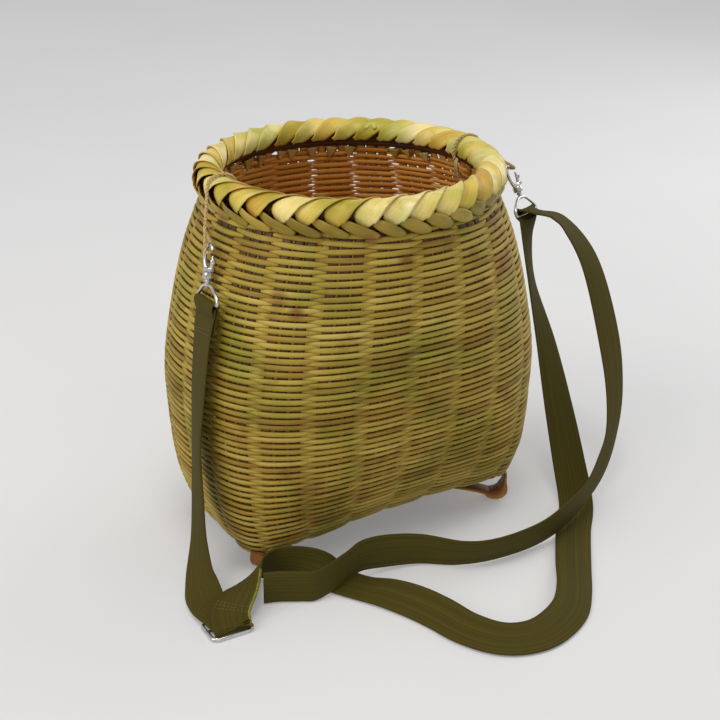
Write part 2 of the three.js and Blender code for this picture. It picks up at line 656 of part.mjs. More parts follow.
for (const [name, rows] of Object.entries(STRAP_RUNS)) addMesh(name, webbing(rows), "webbing");

// Slider: a flat frame with a middle bar, lying under the strap's turn
function slider() {
  const bar = (width, length, x, y) =>
    new THREE.BoxGeometry(width, length, SLIDER_BAR).translate(x, y, SLIDER_BAR / 2);
  const sideX = (SLIDER_WIDTH - SLIDER_BAR) / 2;
  const endY = (SLIDER_LENGTH - SLIDER_BAR) / 2;
  return joined([
    bar(SLIDER_BAR, SLIDER_LENGTH, -sideX, 0),
    bar(SLIDER_BAR, SLIDER_LENGTH, sideX, 0),
    bar(SLIDER_WIDTH, SLIDER_BAR, 0, -endY),
    bar(SLIDER_WIDTH, SLIDER_BAR, 0, 0),
    bar(SLIDER_WIDTH, SLIDER_BAR, 0, endY),
  ]);
}

const turnEnd = routePoint(STRAP_RUNS.strap_left_run.at(-1));
const sliderMesh = addMesh("slider", slider(), "nickel");
sliderMesh.position.set(turnEnd.x, turnEnd.y + 7, 0.1);

export default creel;
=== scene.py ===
"""Woven bamboo fishing creel: split-bamboo basket, braided rim, webbing strap with snap hooks.

The frame is the part's own: metres, +Z up, X along the basket's long side, front towards -Y.
Shapes below are worked out in millimetres and turned to metres as their mesh is made.
"""

import math
import random

import bmesh
import bpy
import numpy as np
from mathutils import Matrix, Vector


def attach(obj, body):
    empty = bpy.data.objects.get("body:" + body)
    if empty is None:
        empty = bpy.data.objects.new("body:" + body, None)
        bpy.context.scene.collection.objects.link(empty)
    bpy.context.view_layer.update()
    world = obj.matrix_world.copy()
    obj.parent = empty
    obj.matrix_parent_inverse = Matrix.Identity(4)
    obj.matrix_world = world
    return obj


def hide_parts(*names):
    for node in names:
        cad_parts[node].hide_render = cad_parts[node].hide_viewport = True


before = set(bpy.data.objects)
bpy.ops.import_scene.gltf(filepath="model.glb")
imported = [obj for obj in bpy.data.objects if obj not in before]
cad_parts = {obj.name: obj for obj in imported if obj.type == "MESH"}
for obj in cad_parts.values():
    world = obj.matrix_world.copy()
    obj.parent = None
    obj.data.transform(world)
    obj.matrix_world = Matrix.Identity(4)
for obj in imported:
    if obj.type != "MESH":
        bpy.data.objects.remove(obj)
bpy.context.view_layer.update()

MM = 0.001
rng = random.Random(11)

# Sizes, in millimetres
RIM_HEIGHT = 256.0
MOUTH_RADIUS = 94.5
ROLL_RADIUS = 8.3
ROLL_RELIEF = 0.7
BELLY_LENGTH = 258.0
BELLY_WIDTH = 2 * (MOUTH_RADIUS + ROLL_RADIUS)
BASE_LENGTH = 216.0
BASE_WIDTH = 124.0
WALL = 3.0
FLOOR_HEIGHT = 25.0
EDGE_CORNER = 15.0
EDGE_END = 17.0
EDGE_FRONT = 25.0
EDGE_SLOPE = 5.5
DRAPE_END = 0.4
SEAT_GAP = 0.3
WALL_TOP = RIM_HEIGHT - ROLL_RADIUS - ROLL_RELIEF - SEAT_GAP
WARP_PAIRS = 21
WEFT_TURNS = 99
STRAP_WIDTH = 25.0
STRAP_THICKNESS = 1.5

# Camera
CAMERA_AT = (-449.2, -801.5, 533.5)
CAMERA_TARGET = (8.0, 0.0, 113.0)
LENS = 70.65
SENSOR_WIDTH = 36.0


def make_camera():
    data = bpy.data.cameras.new("camera")
    data.lens = LENS
    data.sensor_width = SENSOR_WIDTH
    data.clip_end = 20.0
    camera = bpy.data.objects.new("camera", data)
    at, target = Vector(CAMERA_AT) * MM, Vector(CAMERA_TARGET) * MM
    camera.location = at
    camera.rotation_euler = (target - at).to_track_quat("-Z", "Y").to_euler()
    bpy.context.collection.objects.link(camera)
    bpy.context.scene.camera = camera


make_camera()


# Materials
def linear(hex_colour):
    """sRGB hex to the linear colour a shader takes"""
    channels = [int(hex_colour[i : i + 2], 16) / 255 for i in (1, 3, 5)]
    return [c / 12.92 if c <= 0.04045 else ((c + 0.055) / 1.055) ** 2.4 for c in channels] + [1.0]


def node(tree, kind, settings, output=0):
    """Adds a node and gives one of its outputs. A setting is a property of the node, or one
    of its inputs by name or number, which a socket is linked to. "stops" fill a colour ramp."""
    made = tree.nodes.new(kind)
    for key, value in settings.items():
        if key == "stops":
            elements = made.color_ramp.elements
            while len(elements) < len(value):
                elements.new(0.5)
            for element, (place, colour) in zip(elements, value):
                element.position = place
                element.color = linear(colour)
        elif isinstance(key, str) and key[0].islower():
            setattr(made, key, value)
        elif isinstance(value, bpy.types.NodeSocket):
            tree.links.new(value, made.inputs[key])
        else:
            made.inputs[key].default_value = value
    return made.outputs[output]


def new_material(name, settings):
    material = bpy.data.materials.new(name)
    material.use_nodes = True
    shader = material.node_tree.nodes["Principled BSDF"]
    for key, value in settings.items():
        shader.inputs[key].default_value = value
    return material, material.node_tree


def plug(material, links):
    """Links sockets to the material's shader, by the names of its inputs"""
    tree = material.node_tree
    for key, socket in links.items():
        tree.links.new(socket, tree.nodes["Principled BSDF"].inputs[key])
    return material


def object_place(tree):
    return node(tree, "ShaderNodeTexCoord", {}, "Object")


def strand_place(tree, along, across):
    """The strand's own UV, in metres, as `along` and `across` cells to the metre"""
    uv = node(tree, "ShaderNodeUVMap", {"uv_map": "strand"})
    return node(tree, "ShaderNodeMapping", {"Vector": uv, "Scale": (along, across, 1.0)})


# Brown patches on the weave: place and radius in millimetres
STAINS = [
    (-92.0, -71.0, 204.0, 9.0),
    (-82.0, -78.0, 196.0, 7.0),
    (-78.0, -88.0, 70.0, 16.0),
    (-74.0, -84.0, 45.0, 18.0),
    (-38.0, -86.0, 52.0, 12.0),
    (-16.0, -100.0, 226.0, 8.0),
    (120.0, -42.0, 100.0, 9.0),
]


def split_bamboo(name, skin, pith, stain, dirt, stained=(), roughness=0.45):
    """Bamboo split by hand into thin strips. The skin side is waxy and green-tan with fine
    fibres along it, about 0.4 mm apart; the pith side is orange-brown; age leaves brown
    patches. Each strip has a tone of its own."""
    material, tree = new_material(name, {"Roughness": roughness, "Specular IOR Level": 0.35})
    fibres = {"Vector": strand_place(tree, 60, 2500), "Scale": 1.0, "Detail": 4.0}
    fibres = node(tree, "ShaderNodeTexNoise", fibres)
    patches = node(tree, "ShaderNodeTexNoise", {"Vector": strand_place(tree, 16, 70), "Scale": 1.0})
    tone = node(tree, "ShaderNodeAttribute", {"attribute_name": "tone"}, "Fac")
    shade = node(tree, "ShaderNodeMath", {"operation": "MULTIPLY_ADD", 0: patches, 1: 0.7, 2: -0.1})
    shade = node(tree, "ShaderNodeMath", {"operation": "MULTIPLY_ADD", 0: tone, 1: 0.4, 2: shade})
    shade = node(tree, "ShaderNodeMath", {"operation": "MULTIPLY_ADD", 0: fibres, 1: 0.5, 2: shade})
    shade = node(tree, "ShaderNodeMath", {"operation": "SUBTRACT", 0: shade, 1: 0.25, "use_clamp": True})
    outer = node(tree, "ShaderNodeValToRGB", {0: shade, "stops": skin})
    inner = node(tree, "ShaderNodeValToRGB", {0: shade, "stops": pith})
    side = node(tree, "ShaderNodeAttribute", {"attribute_name": "side"}, "Fac")
    facing = node(tree, "ShaderNodeMapRange", {0: side, "From Min": -0.5, "From Max": 0.1})
    colour = node(tree, "ShaderNodeMix", {"data_type": "RGBA", 0: facing, 6: inner, 7: outer}, 2)
    place = object_place(tree)
    green = node(tree, "ShaderNodeTexNoise", {"Vector": place, "Scale": 26.0, "Detail": 3.0})
    green = node(tree, "ShaderNodeMapRange", {0: green, "From Min": 0.46, "From Max": 0.66, "To Max": 0.8})
    green = node(tree, "ShaderNodeMath", {"operation": "MULTIPLY", 0: green, 1: facing})
    tint = {"data_type": "RGBA", "blend_type": "MULTIPLY", 0: green, 6: colour, 7: linear("#c8dc96")}
    colour = node(tree, "ShaderNodeMix", tint, 2)
    aged = node(tree, "ShaderNodeTexNoise", {"Vector": place, "Scale": 42.0, "Detail": 3.0})
    aged = {0: aged, "From Min": dirt, "From Max": dirt + 0.16, "To Max": 0.75}
    aged = node(tree, "ShaderNodeMapRange", aged)
    for x, y, z, radius in stained:
        apart = {"operation": "DISTANCE", 0: place, 1: (x * MM, y * MM, z * MM)}
        apart = node(tree, "ShaderNodeVectorMath", apart, "Value")
        near = {0: apart, "From Min": radius * MM, "From Max": radius * MM * 0.3, "To Max": 0.8}
        near = node(tree, "ShaderNodeMapRange", near)
        near = node(tree, "ShaderNodeMath", {"operation": "MULTIPLY", 0: near, 1: patches})
        near = node(tree, "ShaderNodeMath", {"operation": "MULTIPLY", 0: near, 1: 1.7})
        aged = node(tree, "ShaderNodeMath", {"operation": "MAXIMUM", 0: aged, 1: near})
    worn = {"data_type": "RGBA", 0: aged, 6: colour, 7: linear(stain)}
    worn = node(tree, "ShaderNodeMix", worn, 2)
    bump = node(tree, "ShaderNodeBump", {"Strength": 0.4, "Distance": 0.0002, "Height": fibres})
    return plug(material, {"Base Color": worn, "Normal": bump})


WEFT = split_bamboo(
    "split_bamboo_weave",
    [(0.05, "#7e5a16"), (0.25, "#967624"), (0.45, "#a68e34"), (0.7, "#b8a148"), (0.95, "#d2b868")],
    [(0.1, "#c07424"), (0.45, "#e09c44"), (0.7, "#f0b45e"), (0.95, "#f6ca88")],
    "#7a4a12",
    0.6,
    STAINS,
    0.55,
)
# Stakes: dark brown skin, partly their own darker colour and partly painted shade for the recesses between
# the wefts where they show
STAKE = split_bamboo(
    "split_bamboo_stakes",
    [(0.1, "#3c2808"), (0.6, "#624410"), (0.95, "#7c5a18")],
    [(0.1, "#b06c20"), (0.6, "#d8943c"), (0.95, "#eab464")],
    "#5a380e",
    0.6,
)
RIM = split_bamboo(
    "young_bamboo_rim",
    [(0.05, "#b87a28"), (0.25, "#c49e38"), (0.45, "#dcc25a"), (0.65, "#f0de98"), (0.9, "#fff6d4")],
    [(0.1, "#a06a28"), (0.6, "#c69a50"), (0.95, "#d8b572")],
    "#989228",
    0.55,
    (),
    0.36,
)
LEAF = split_bamboo(
    "young_bamboo_leaf",
    [(0.05, "#6e5c16"), (0.3, "#8c7624"), (0.5, "#a68c30"), (0.7, "#c4a646"), (0.95, "#e4cc74")],
    [(0.1, "#6e3c18"), (0.6, "#8e5a26"), (0.95, "#a87c3c")],
    "#87481c",
    0.58,
    (),
    0.4,
)
FOOT = split_bamboo(
    "bent_bamboo_foot",
    [(0.05, "#6a3d12"), (0.35, "#a0641e"), (0.65, "#bf842e"), (0.95, "#d2a24a")],
    [(0.1, "#5a3410"), (0.6, "#845020"), (0.95, "#a0682c")],
    "#4a2c0e",
    0.58,
)
STAKE_ENDS = split_bamboo(
    "split_bamboo_ends",
    [(0.1, "#b98c44"), (0.6, "#d2b26c"), (0.95, "#e2cc94")],
    [(0.1, "#b07a34"), (0.6, "#cda05a"), (0.95, "#e0bf84")],
    "#8a5a26",
    0.6,
)
# Bundle under the rim strips: painted shade, a dark brown bamboo which the eye reads as the shadowed gaps
# between them
GAP_SHADE = split_bamboo(
    "painted_gap_shade_core",
    [(0.1, "#5a2f12"), (0.9, "#7a4a1e")],
    [(0.1, "#5a2f12"), (0.9, "#7a4a1e")],
    "#3a1c0a",
    0.4,
)


def webbing():
    """Woven polyester webbing, olive drab. Its yarns, 0.5 mm apart, are too fine to show, so
    they are drawn 1.3 mm apart, and faint: the face reads as smooth, matt cloth with a
    slight sheen along its folds and streaks along its length."""
    settings = {"Roughness": 0.8, "Specular IOR Level": 0.16}
    material, tree = new_material("olive_drab_webbing", settings)
    ribs = {"Vector": strand_place(tree, 0, 1), "Scale": 240.0, "bands_direction": "Y"}
    ribs = node(tree, "ShaderNodeTexWave", ribs, "Fac")
    streaks = {"Vector": strand_place(tree, 5, 900), "Scale": 1.0, "Detail": 3.0}
    streaks = node(tree, "ShaderNodeTexNoise", streaks)
    shade = node(tree, "ShaderNodeMath", {"operation": "MULTIPLY_ADD", 0: ribs, 1: 0.06, 2: streaks})
    stops = [(0.25, "#3d360f"), (0.55, "#484012"), (0.8, "#544b18"), (0.95, "#605620")]
    colour = node(tree, "ShaderNodeValToRGB", {0: shade, "stops": stops})
    bump = node(tree, "ShaderNodeBump", {"Strength": 0.25, "Distance": 0.0002, "Height": ribs})
    return plug(material, {"Base Color": colour, "Normal": bump})


def jute():
    """Twisted jute cord: pale tan, hairy and matt."""
    material, tree = new_material("twisted_jute_cord", {"Roughness": 0.92})
    fibres = {"Vector": object_place(tree), "Scale": 1500.0, "Detail": 4.0}
    fibres = node(tree, "ShaderNodeTexNoise", fibres)
    stops = [(0.25, "#94733f"), (0.5, "#bfa26c"), (0.8, "#dcc998")]
    colour = node(tree, "ShaderNodeValToRGB", {0: fibres, "stops": stops})
    bump = node(tree, "ShaderNodeBump", {"Strength": 0.6, "Distance": 0.0002, "Height": fibres})
    return plug(material, {"Base Color": colour, "Normal": bump})


def nickel():
    """Nickel plate over cast zinc and steel wire: mirror bright, with duller handled patches
    and fine scratches."""
    material, tree = new_material("nickel_plate", {"Metallic": 1.0})
    place = object_place(tree)
    smears = node(tree, "ShaderNodeTexNoise", {"Vector": place, "Scale": 240.0, "Detail": 3.0})
    stops = [(0.3, "#b4b3b1"), (0.7, "#dedddb")]
    colour = node(tree, "ShaderNodeValToRGB", {0: smears, "stops": stops})
    rough = node(tree, "ShaderNodeMapRange", {0: smears, "To Min": 0.12, "To Max": 0.34})
    grain = node(tree, "ShaderNodeTexNoise", {"Vector": place, "Scale": 2200.0})
    bump = node(tree, "ShaderNodeBump", {"Strength": 0.05, "Distance": 0.0001, "Height": grain})
    return plug(material, {"Base Color": colour, "Roughness": rough, "Normal": bump})


def thread():
    """Bonded polyester sewing thread, dark olive, with a slight shine."""
    material, tree = new_material("polyester_thread", {"Roughness": 0.5})
    twist = node(tree, "ShaderNodeTexNoise", {"Vector": object_place(tree), "Scale": 1800.0})
    stops = [(0.3, "#524a18"), (0.7, "#6a6226")]
    colour = node(tree, "ShaderNodeValToRGB", {0: twist, "stops": stops})
    return plug(material, {"Base Color": colour})


def selvedge():
    """Edge of the same webbing, where its filling yarns turn: a paler green than its face."""
    settings = {"Roughness": 0.8, "Specular IOR Level": 0.2}
    material, tree = new_material("webbing_selvedge", settings)
    yarns = node(tree, "ShaderNodeTexNoise", {"Vector": strand_place(tree, 700, 100), "Scale": 1.0})
    stops = [(0.3, "#5f5c1c"), (0.7, "#8d8a34")]
    colour = node(tree, "ShaderNodeValToRGB", {0: yarns, "stops": stops})
    return plug(material, {"Base Color": colour})


def backdrop():
    """Matt translucent sheet, lit a little from below so that shadows stay faint: even pale
    grey with hardly any grain."""
    settings = {"Roughness": 0.9, "Specular IOR Level": 0.2}
    settings.update({"Emission Color": linear("#ffffff"), "Emission Strength": 0.18})
    material, tree = new_material("backdrop_sheet", settings)
    grain = node(tree, "ShaderNodeTexNoise", {"Vector": object_place(tree), "Scale": 3.0})
    stops = [(0.2, "#c5c5c6"), (0.8, "#cacacb")]
    colour = node(tree, "ShaderNodeValToRGB", {0: grain, "stops": stops})
    return plug(material, {"Base Color": colour})


WEBBING = webbing()
JUTE = jute()
NICKEL = nickel()
THREAD = thread()
SELVEDGE = selvedge()


# Strands
def catmull(rows, steps):
    """Points on the smooth curve through the rows, `steps` to each gap and the last row"""
    rows = np.asarray(rows, float)
    padded = np.vstack([2 * rows[0] - rows[1], rows, 2 * rows[-1] - rows[-2]])
    shares = np.arange(steps)[:, None] / steps
    out = []
    for a, b, c, d in zip(padded, padded[1:], padded[2:], padded[3:]):
        square, cube = 2 * a - 5 * b + 4 * c - d, 3 * b - 3 * c + d - a
        out.append(0.5 * (2 * b + (c - a) * shares + square * shares**2 + cube * shares**3))
    return np.vstack(out + [rows[-1:]])


def unit(vectors):
    return vectors / np.maximum(np.linalg.norm(vectors, axis=-1, keepdims=True), 1e-9)


def oval(sides):
    """Strand section: across, and out from its face, each from -1 to 1"""
    angles = np.pi / 2 - 2 * np.pi * (np.arange(sides) + 0.5) / sides
    return np.stack([np.cos(angles), np.sin(angles)], 1)


def flat_band(edge):
    """Section of a flat band with rounded edges; `edge` is the share of its width they take"""
    half = [(-1.0, 0.0), (-1 + edge * 0.35, 0.75), (-1 + edge, 1.0), (0.0, 1.0)]
    top = half + [(-x, y) for x, y in reversed(half[:-1])]
    under = [(x, -y) for x, y in reversed(top[1:-1])]
    return np.array(top + under)


class Strands:
    """Gathers strands into one mesh. Each one is a section carried along a line, with its
    length and girth as UV in metres, and tone and side as attributes."""

    def __init__(self):
        self.verts, self.faces, self.uvs, self.tones, self.sides = [], [], [], [], []
        self.count = 0

    def add(self, middles, across, half_width, half_thick, section, tone=0.5):
        middles = np.asarray(middles, float)
        n, k = len(middles), len(section)
        along = unit(np.gradient(middles, axis=0))
        across = np.broadcast_to(np.asarray(across, float), middles.shape)
        across = unit(across - (across * along).sum(1)[:, None] * along)
        face = np.cross(across, along)
        width = np.broadcast_to(np.asarray(half_width, float), (n,))[:, None, None]
        thick = np.broadcast_to(np.asarray(half_thick, float), (n,))[:, None, None]
        rings = (
            middles[:, None]
            + across[:, None] * section[None, :, :1] * width
            + face[:, None] * section[None, :, 1:] * thick
        )
        gaps = np.linalg.norm(np.diff(middles, axis=0), axis=1)
        length = np.concatenate([[0], np.cumsum(gaps)])
        outline = np.vstack([section, section[:1]]) * [width.mean(), thick.mean()]
        around = np.linalg.norm(np.diff(outline, axis=0), axis=1)
        girth = np.concatenate([[0], np.cumsum(around)])
        i, j = np.meshgrid(np.arange(n - 1), np.arange(k), indexing="ij")
        i, j = i.ravel(), j.ravel()
        base = self.count
        shift = rng.random() * 3000
        corners = ((i, j), (i, j + 1), (i + 1, j + 1), (i + 1, j))
        quads = np.stack([base + row * k + column % k for row, column in corners], 1)
        uv = np.stack([np.stack([length[row] + shift, girth[column]], 1) for row, column in corners], 1)
        self.verts.append(rings.reshape(-1, 3))
        self.faces.append(quads)
        self.uvs.append(uv.reshape(-1, 2))
        self.tones.append(np.broadcast_to(np.asarray(tone, float), (n,)).repeat(k))
        self.sides.append(np.tile(section[:, 1], n))
        self.count += n * k
        for first, order in ((0, 1), (n - 1, -1)):
            self.cap(base + first * k + np.arange(k)[::-order], length[first] + shift)

    def cap(self, ring, place):
        """Closes a strand's end with quads and triangles between its two edges"""
        k = len(ring)
        low, high = 0, k - 1
        while high - low >= 2:
            far = [ring[high - 1], ring[high]] if high - low >= 3 else [ring[high], -1]
            self.faces.append(np.array([[ring[low], ring[low + 1]] + far]))
            self.uvs.append(np.tile([[place, 0.0]], (4, 1)))
            low, high = low + 1, high - 1

    def build(self, name, material, body="creel"):
        verts = np.vstack(self.verts) * MM
        faces = np.vstack(self.faces)
        uvs = np.vstack(self.uvs) * MM
        mesh = bpy.data.meshes.new(name)
        used = faces >= 0
        sizes = used.sum(1)
        mesh.vertices.add(len(verts))
        mesh.vertices.foreach_set("co", verts.ravel())
        mesh.loops.add(int(sizes.sum()))
        mesh.loops.foreach_set("vertex_index", faces[used])
        mesh.polygons.add(len(faces))
        starts = np.concatenate([[0], np.cumsum(sizes)[:-1]])
        mesh.polygons.foreach_set("loop_start", starts)
        mesh.polygons.foreach_set("use_smooth", np.ones(len(faces), bool))
        mesh.update(calc_edges=True)
        layer = mesh.uv_layers.new(name="strand")
        layer.data.foreach_set("uv", uvs[used.ravel()].ravel())
        for label, values in (("tone", self.tones), ("side", self.sides)):
            data = mesh.attributes.new(label, "FLOAT", "POINT")
            data.data.foreach_set("value", np.concatenate(values))
        mesh.validate()
        mesh.materials.append(material)
        piece = bpy.data.objects.new(name, mesh)
        bpy.context.collection.objects.link(piece)
        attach(piece, body)
        return piece


# The strap
# The route repeats the part's own: middle of the webbing, then heading and tilt in degrees
# of the direction across it.
STRAP_RUNS = {
    "strap_left_run": [
        (-121, -28, 189.4, 92, 0), (-127, -33, 172, 88, 0), (-132, -35, 140, 85, 0),
        (-135, -34, 102, 79, 0), (-136, -34, 65, 83, 0), (-140, -41, 30, 92, -10),
        (-147, -56, 9, 122, -18), (-151.5, -79, 4.7, 160, -7), (-150, -98, 4.2, 180, 0),
        (-149, -109, 4.2, 180, 0), (-149, -112, 2.9, 180, 0), (-149, -112, 1.2, 180, 0),
    ],
    "strap_inner_run": [
        (-149, -112.3, 3.8, 0, 0), (-149, -111, 6, 0, 0), (-144, -98, 8.2, -14, 3),
        (-131.5, -86.5, 12.2, -40, 14), (-120.5, -75.5, 12.4, -60, 40), (-110, -69, 12.6, -80, 62),
        (-96, -69, 13.4, -110, 85), (-84, -75, 13.5, 90, 86), (-72, -86, 10, 66, 52),
        (-62, -97, 3.9, 48, 14), (-53, -110, 2.8, 36, 7), (-43, -127, 5.4, 20, 19),
        (-34, -146, 6.6, 14, 26), (-27, -165, 6.6, 17, 26), (-21, -185, 6, 25, 22),
        (-11, -202, 5.6, 42, 20), (1, -211, 5.4, 62, 19), (17, -214, 5.2, 88, 18),
        (34, -210, 5.2, 110, 18), (52, -200, 5.2, 127, 18), (68, -183, 5.2, 142, 17),
        (88, -156, 3.6, 145, 7), (115, -121, 2.2, 138, 0), (138, -94, 4.2, 138, 0),
        (149, -68, 27, 160, 0), (156, -43, 60, 180, 0), (158, -22, 100, 202, 0),
        (151.5, -9, 145, 226, 0), (147.5, -6, 178, 221, 0), (147.5, -5, 198, 205, 3),
    ],
    "strap_outer_run": [
        (-117, -91.5, 12.9, 72, -87), (-107, -95, 12.9, 78, -86), (-95, -101.5, 12.9, 86, -85),
        (-84, -106, 13.3, 90, -84), (-62, -103, 17.9, 90, -85), (-46, -98, 19.5, 90, -88),
        (-24, -97, 16, -90, -88), (-2, -103, 13.6, 90, -85), (20, -120, 12.9, 85, -70),
        (44, -127, 12.7, 85, -68), (78, -126, 13, 85, -72), (104, -121, 16.8, 70, -75),
        (133, -108, 20, 60, -70), (157, -95.5, 30.2, 31, -60), (175.5, -83, 47, 27, -43),
        (189, -67, 75, 16, -25), (197, -45, 112, 16, 0), (192.5, -25, 160, 24, 0),
        (176, -14, 190, 48, 4), (160, -8, 200.5, 72, -8),
    ],
}
# Webbing over the two D-loop bars: up behind one, over it and on; round the other and back
# down behind as a sewn flap
STRAP_FOLDS = {
    "fold_right": [
        (147.5, -5, 198, 205, 3), (146, -2.2, 200.4, 205, 3), (146.4, -0.6, 203, 205, 3),
        (148, -2.4, 204.8, 206, 4), (150.5, -5.2, 204.6, 216, 8), (155, -7.2, 202.8, 236, 10),
        (160, -8, 200.5, 252, 8),
    ],
    "fold_left": [
        (-122.2, -29, 186, 92, 0), (-122.9, -28.2, 190.6, 92, 0), (-122.5, -27.8, 193.6, 92, 0),
        (-120.6, -27.4, 195.1, 92, 0), (-118.6, -27.4, 193.8, 92, 0), (-118.5, -27.8, 190.4, 92, 0),
        (-120, -28.6, 186, 91, 0), (-124.4, -32.4, 173, 88, 0),
    ],
}
WEBBING_SECTION = flat_band(0.1)


class Band:
    """A run of webbing: its middle line, and the directions across it and out of its face"""

    def __init__(self, rows):
        rows = np.array(rows, float)
        heading, tilt = np.radians(rows[:, 3]), np.radians(rows[:, 4])
        flat = np.cos(tilt)
        across = np.stack([np.cos(heading) * flat, np.sin(heading) * flat, np.sin(tilt)], 1)
        self.middles = catmull(rows[:, :3], 12)
        along = unit(np.gradient(self.middles, axis=0))
        across = catmull(across, 12)
        self.across = unit(across - (across * along).sum(1)[:, None] * along)
        self.along = along
        self.face = np.cross(self.across, along)
        gaps = np.linalg.norm(np.diff(self.middles, axis=0), axis=1)
        self.travel = np.concatenate([[0], np.cumsum(gaps)])

    def at(self, travel, aside=0.0, out=0.0):
        """Place at a distance along the run, off its middle line, and the directions across,
        along and out of its face there"""
        i = int(np.searchsorted(self.travel, travel).clip(1, len(self.travel) - 1))
        share = (travel - self.travel[i - 1]) / (self.travel[i] - self.travel[i - 1])
        middle = self.middles[i - 1] * (1 - share) + self.middles[i] * share
        across, face = self.across[i], self.face[i]
        return middle + across * aside + face * out, across, self.along[i], face


def finish(bm, name, material, body="creel"):
    """Makes the bmesh, which is in millimetres, a piece that rides on a body"""
    bmesh.ops.scale(bm, vec=(MM, MM, MM), verts=bm.verts[:])
    bmesh.ops.remove_doubles(bm, verts=bm.verts[:], dist=1e-7)
    bmesh.ops.recalc_face_normals(bm, faces=bm.faces[:])
    for face in bm.faces:
        face.smooth = True
    mesh = bpy.data.meshes.new(name)
    bm.to_mesh(mesh)
    bm.free()
    mesh.uv_layers.new(name="strand")
    mesh.materials.append(material)
    piece = bpy.data.objects.new(name, mesh)
    bpy.context.collection.objects.link(piece)
    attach(piece, body)
    return piece


def frame_matrix(place, x, y, z):
    matrix = Matrix(np.stack([x, y, z], 1).tolist()).to_4x4()
    matrix.translation = Vector(place)
    return matrix


def stitch_rows(name, band, rows, out):
    """Rows of stitches across the webbing, each a small raised dash of thread"""
    bm = bmesh.new()
    for travel in rows:
        for number in range(9):
            aside = (number - 4) * 2.5
            place, across, along, face = band.at(travel, aside, out)
            dash = frame_matrix(place, across, along * 0.3, face * 0.3)
            bmesh.ops.create_uvsphere(bm, u_segments=8, v_segments=5, radius=1.0, matrix=dash)
    return finish(bm, name, THREAD)


def sewn_edge(name, band, first, last, aside):
    """A doubled, sewn edge of the webbing, paler where its weave turns over"""
    places = [band.at(travel, aside) for travel in np.linspace(first, last, 18)]
    strands = Strands()
    middles = np.array([place[0] for place in places])
    across = np.array([place[1] for place in places])
    strands.add(middles, across, 0.95, 1.15, oval(8))
    return strands.build(name, SELVEDGE)


def webbing_piece(name, band):
    strands = Strands()
    strands.add(band.middles, band.across, STRAP_WIDTH / 2, STRAP_THICKNESS / 2, WEBBING_SECTION)
    return strands.build(name, WEBBING)


BANDS = {name: Band(rows) for name, rows in {**STRAP_RUNS, **STRAP_FOLDS}.items()}
with_run = {
    "strap_left_run": [
        webbing_piece("webbing_fold_left", BANDS["fold_left"]),
        stitch_rows("stitches_left", BANDS["strap_left_run"], (13.0, 15.5), 0.85),
    ],
    "strap_inner_run": [
        webbing_piece("webbing_fold_right", BANDS["fold_right"]),
        stitch_rows("stitches_slider", BANDS["strap_inner_run"], (17.5, 20.0, 22.5), 0.85),
        sewn_edge("selvedge_slider", BANDS["strap_inner_run"], 3.0, 52.0, 12.1),
    ],
    "strap_outer_run": [],
}
for run, others in with_run.items():
    band = BANDS[run]
    piece = webbing_piece(run.replace("strap", "webbing"), band)
    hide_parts(run)


def declare_strap(run, others):
    """Works out the run's middle line as points in metres, and keeps nothing of it; `others`, the pieces
    that are on it, is not used
    """
    band = BANDS[run]
    [tuple(point * MM) for point in band.middles]


# The woven wall
# Rows: rise; half length and half width, each as the end it starts from and the share of the
# way from there to the belly; power of the rounded corner
PROFILE = [
    (0.0, "base", 0.0, "base", 0.0, 6.0),
    (0.05, "base", 0.33, "base", 0.22, 4.6),
    (0.13, "base", 0.67, "base", 0.46, 3.7),
    (0.28, "base", 0.92, "base", 0.71, 3.0),
    (0.45, "mouth", 1.0, "base", 0.86, 2.7),
    (0.65, "mouth", 0.8, "base", 0.97, 2.4),
    (0.82, "mouth", 0.51, "mouth", 1.0, 2.2),
    (0.935, "mouth", 0.2, "mouth", 0.62, 2.1),
    (1.0, "mouth", 0.0, "mouth", 0.0, 2.0),
]
GRID_RISES, GRID_TURNS = 97, 840


def smooth_column(places, values, at):
    places, values = np.array(places, float), np.array(values, float)
    slopes = np.empty_like(values)
    slopes[1:-1] = (values[2:] - values[:-2]) / (places[2:] - places[:-2])
    slopes[0] = (values[1] - values[0]) / (places[1] - places[0])
    slopes[-1] = (values[-1] - values[-2]) / (places[-1] - places[-2])
    i = np.clip(np.searchsorted(places, at, side="right") - 1, 0, len(places) - 2)
    span = places[i + 1] - places[i]
    t = (at - places[i]) / span
    return (
        (2 * t**3 - 3 * t**2 + 1) * values[i]
        + (t**3 - 2 * t**2 + t) * span * slopes[i]
        + (3 * t**2 - 2 * t**3) * values[i + 1]
        + (t**3 - t**2) * span * slopes[i + 1]
    )


def bottom_edge(turn):
    """Height of the bottom edge: low at the corners, arched up most along the long sides"""
    side = np.cos(2 * turn)
    ends, fronts = (EDGE_END - EDGE_CORNER) * side, (EDGE_FRONT - EDGE_CORNER) * np.abs(side) ** 0.6
    return EDGE_CORNER + np.where(side > 0, ends, fronts) + EDGE_SLOPE * np.cos(turn)


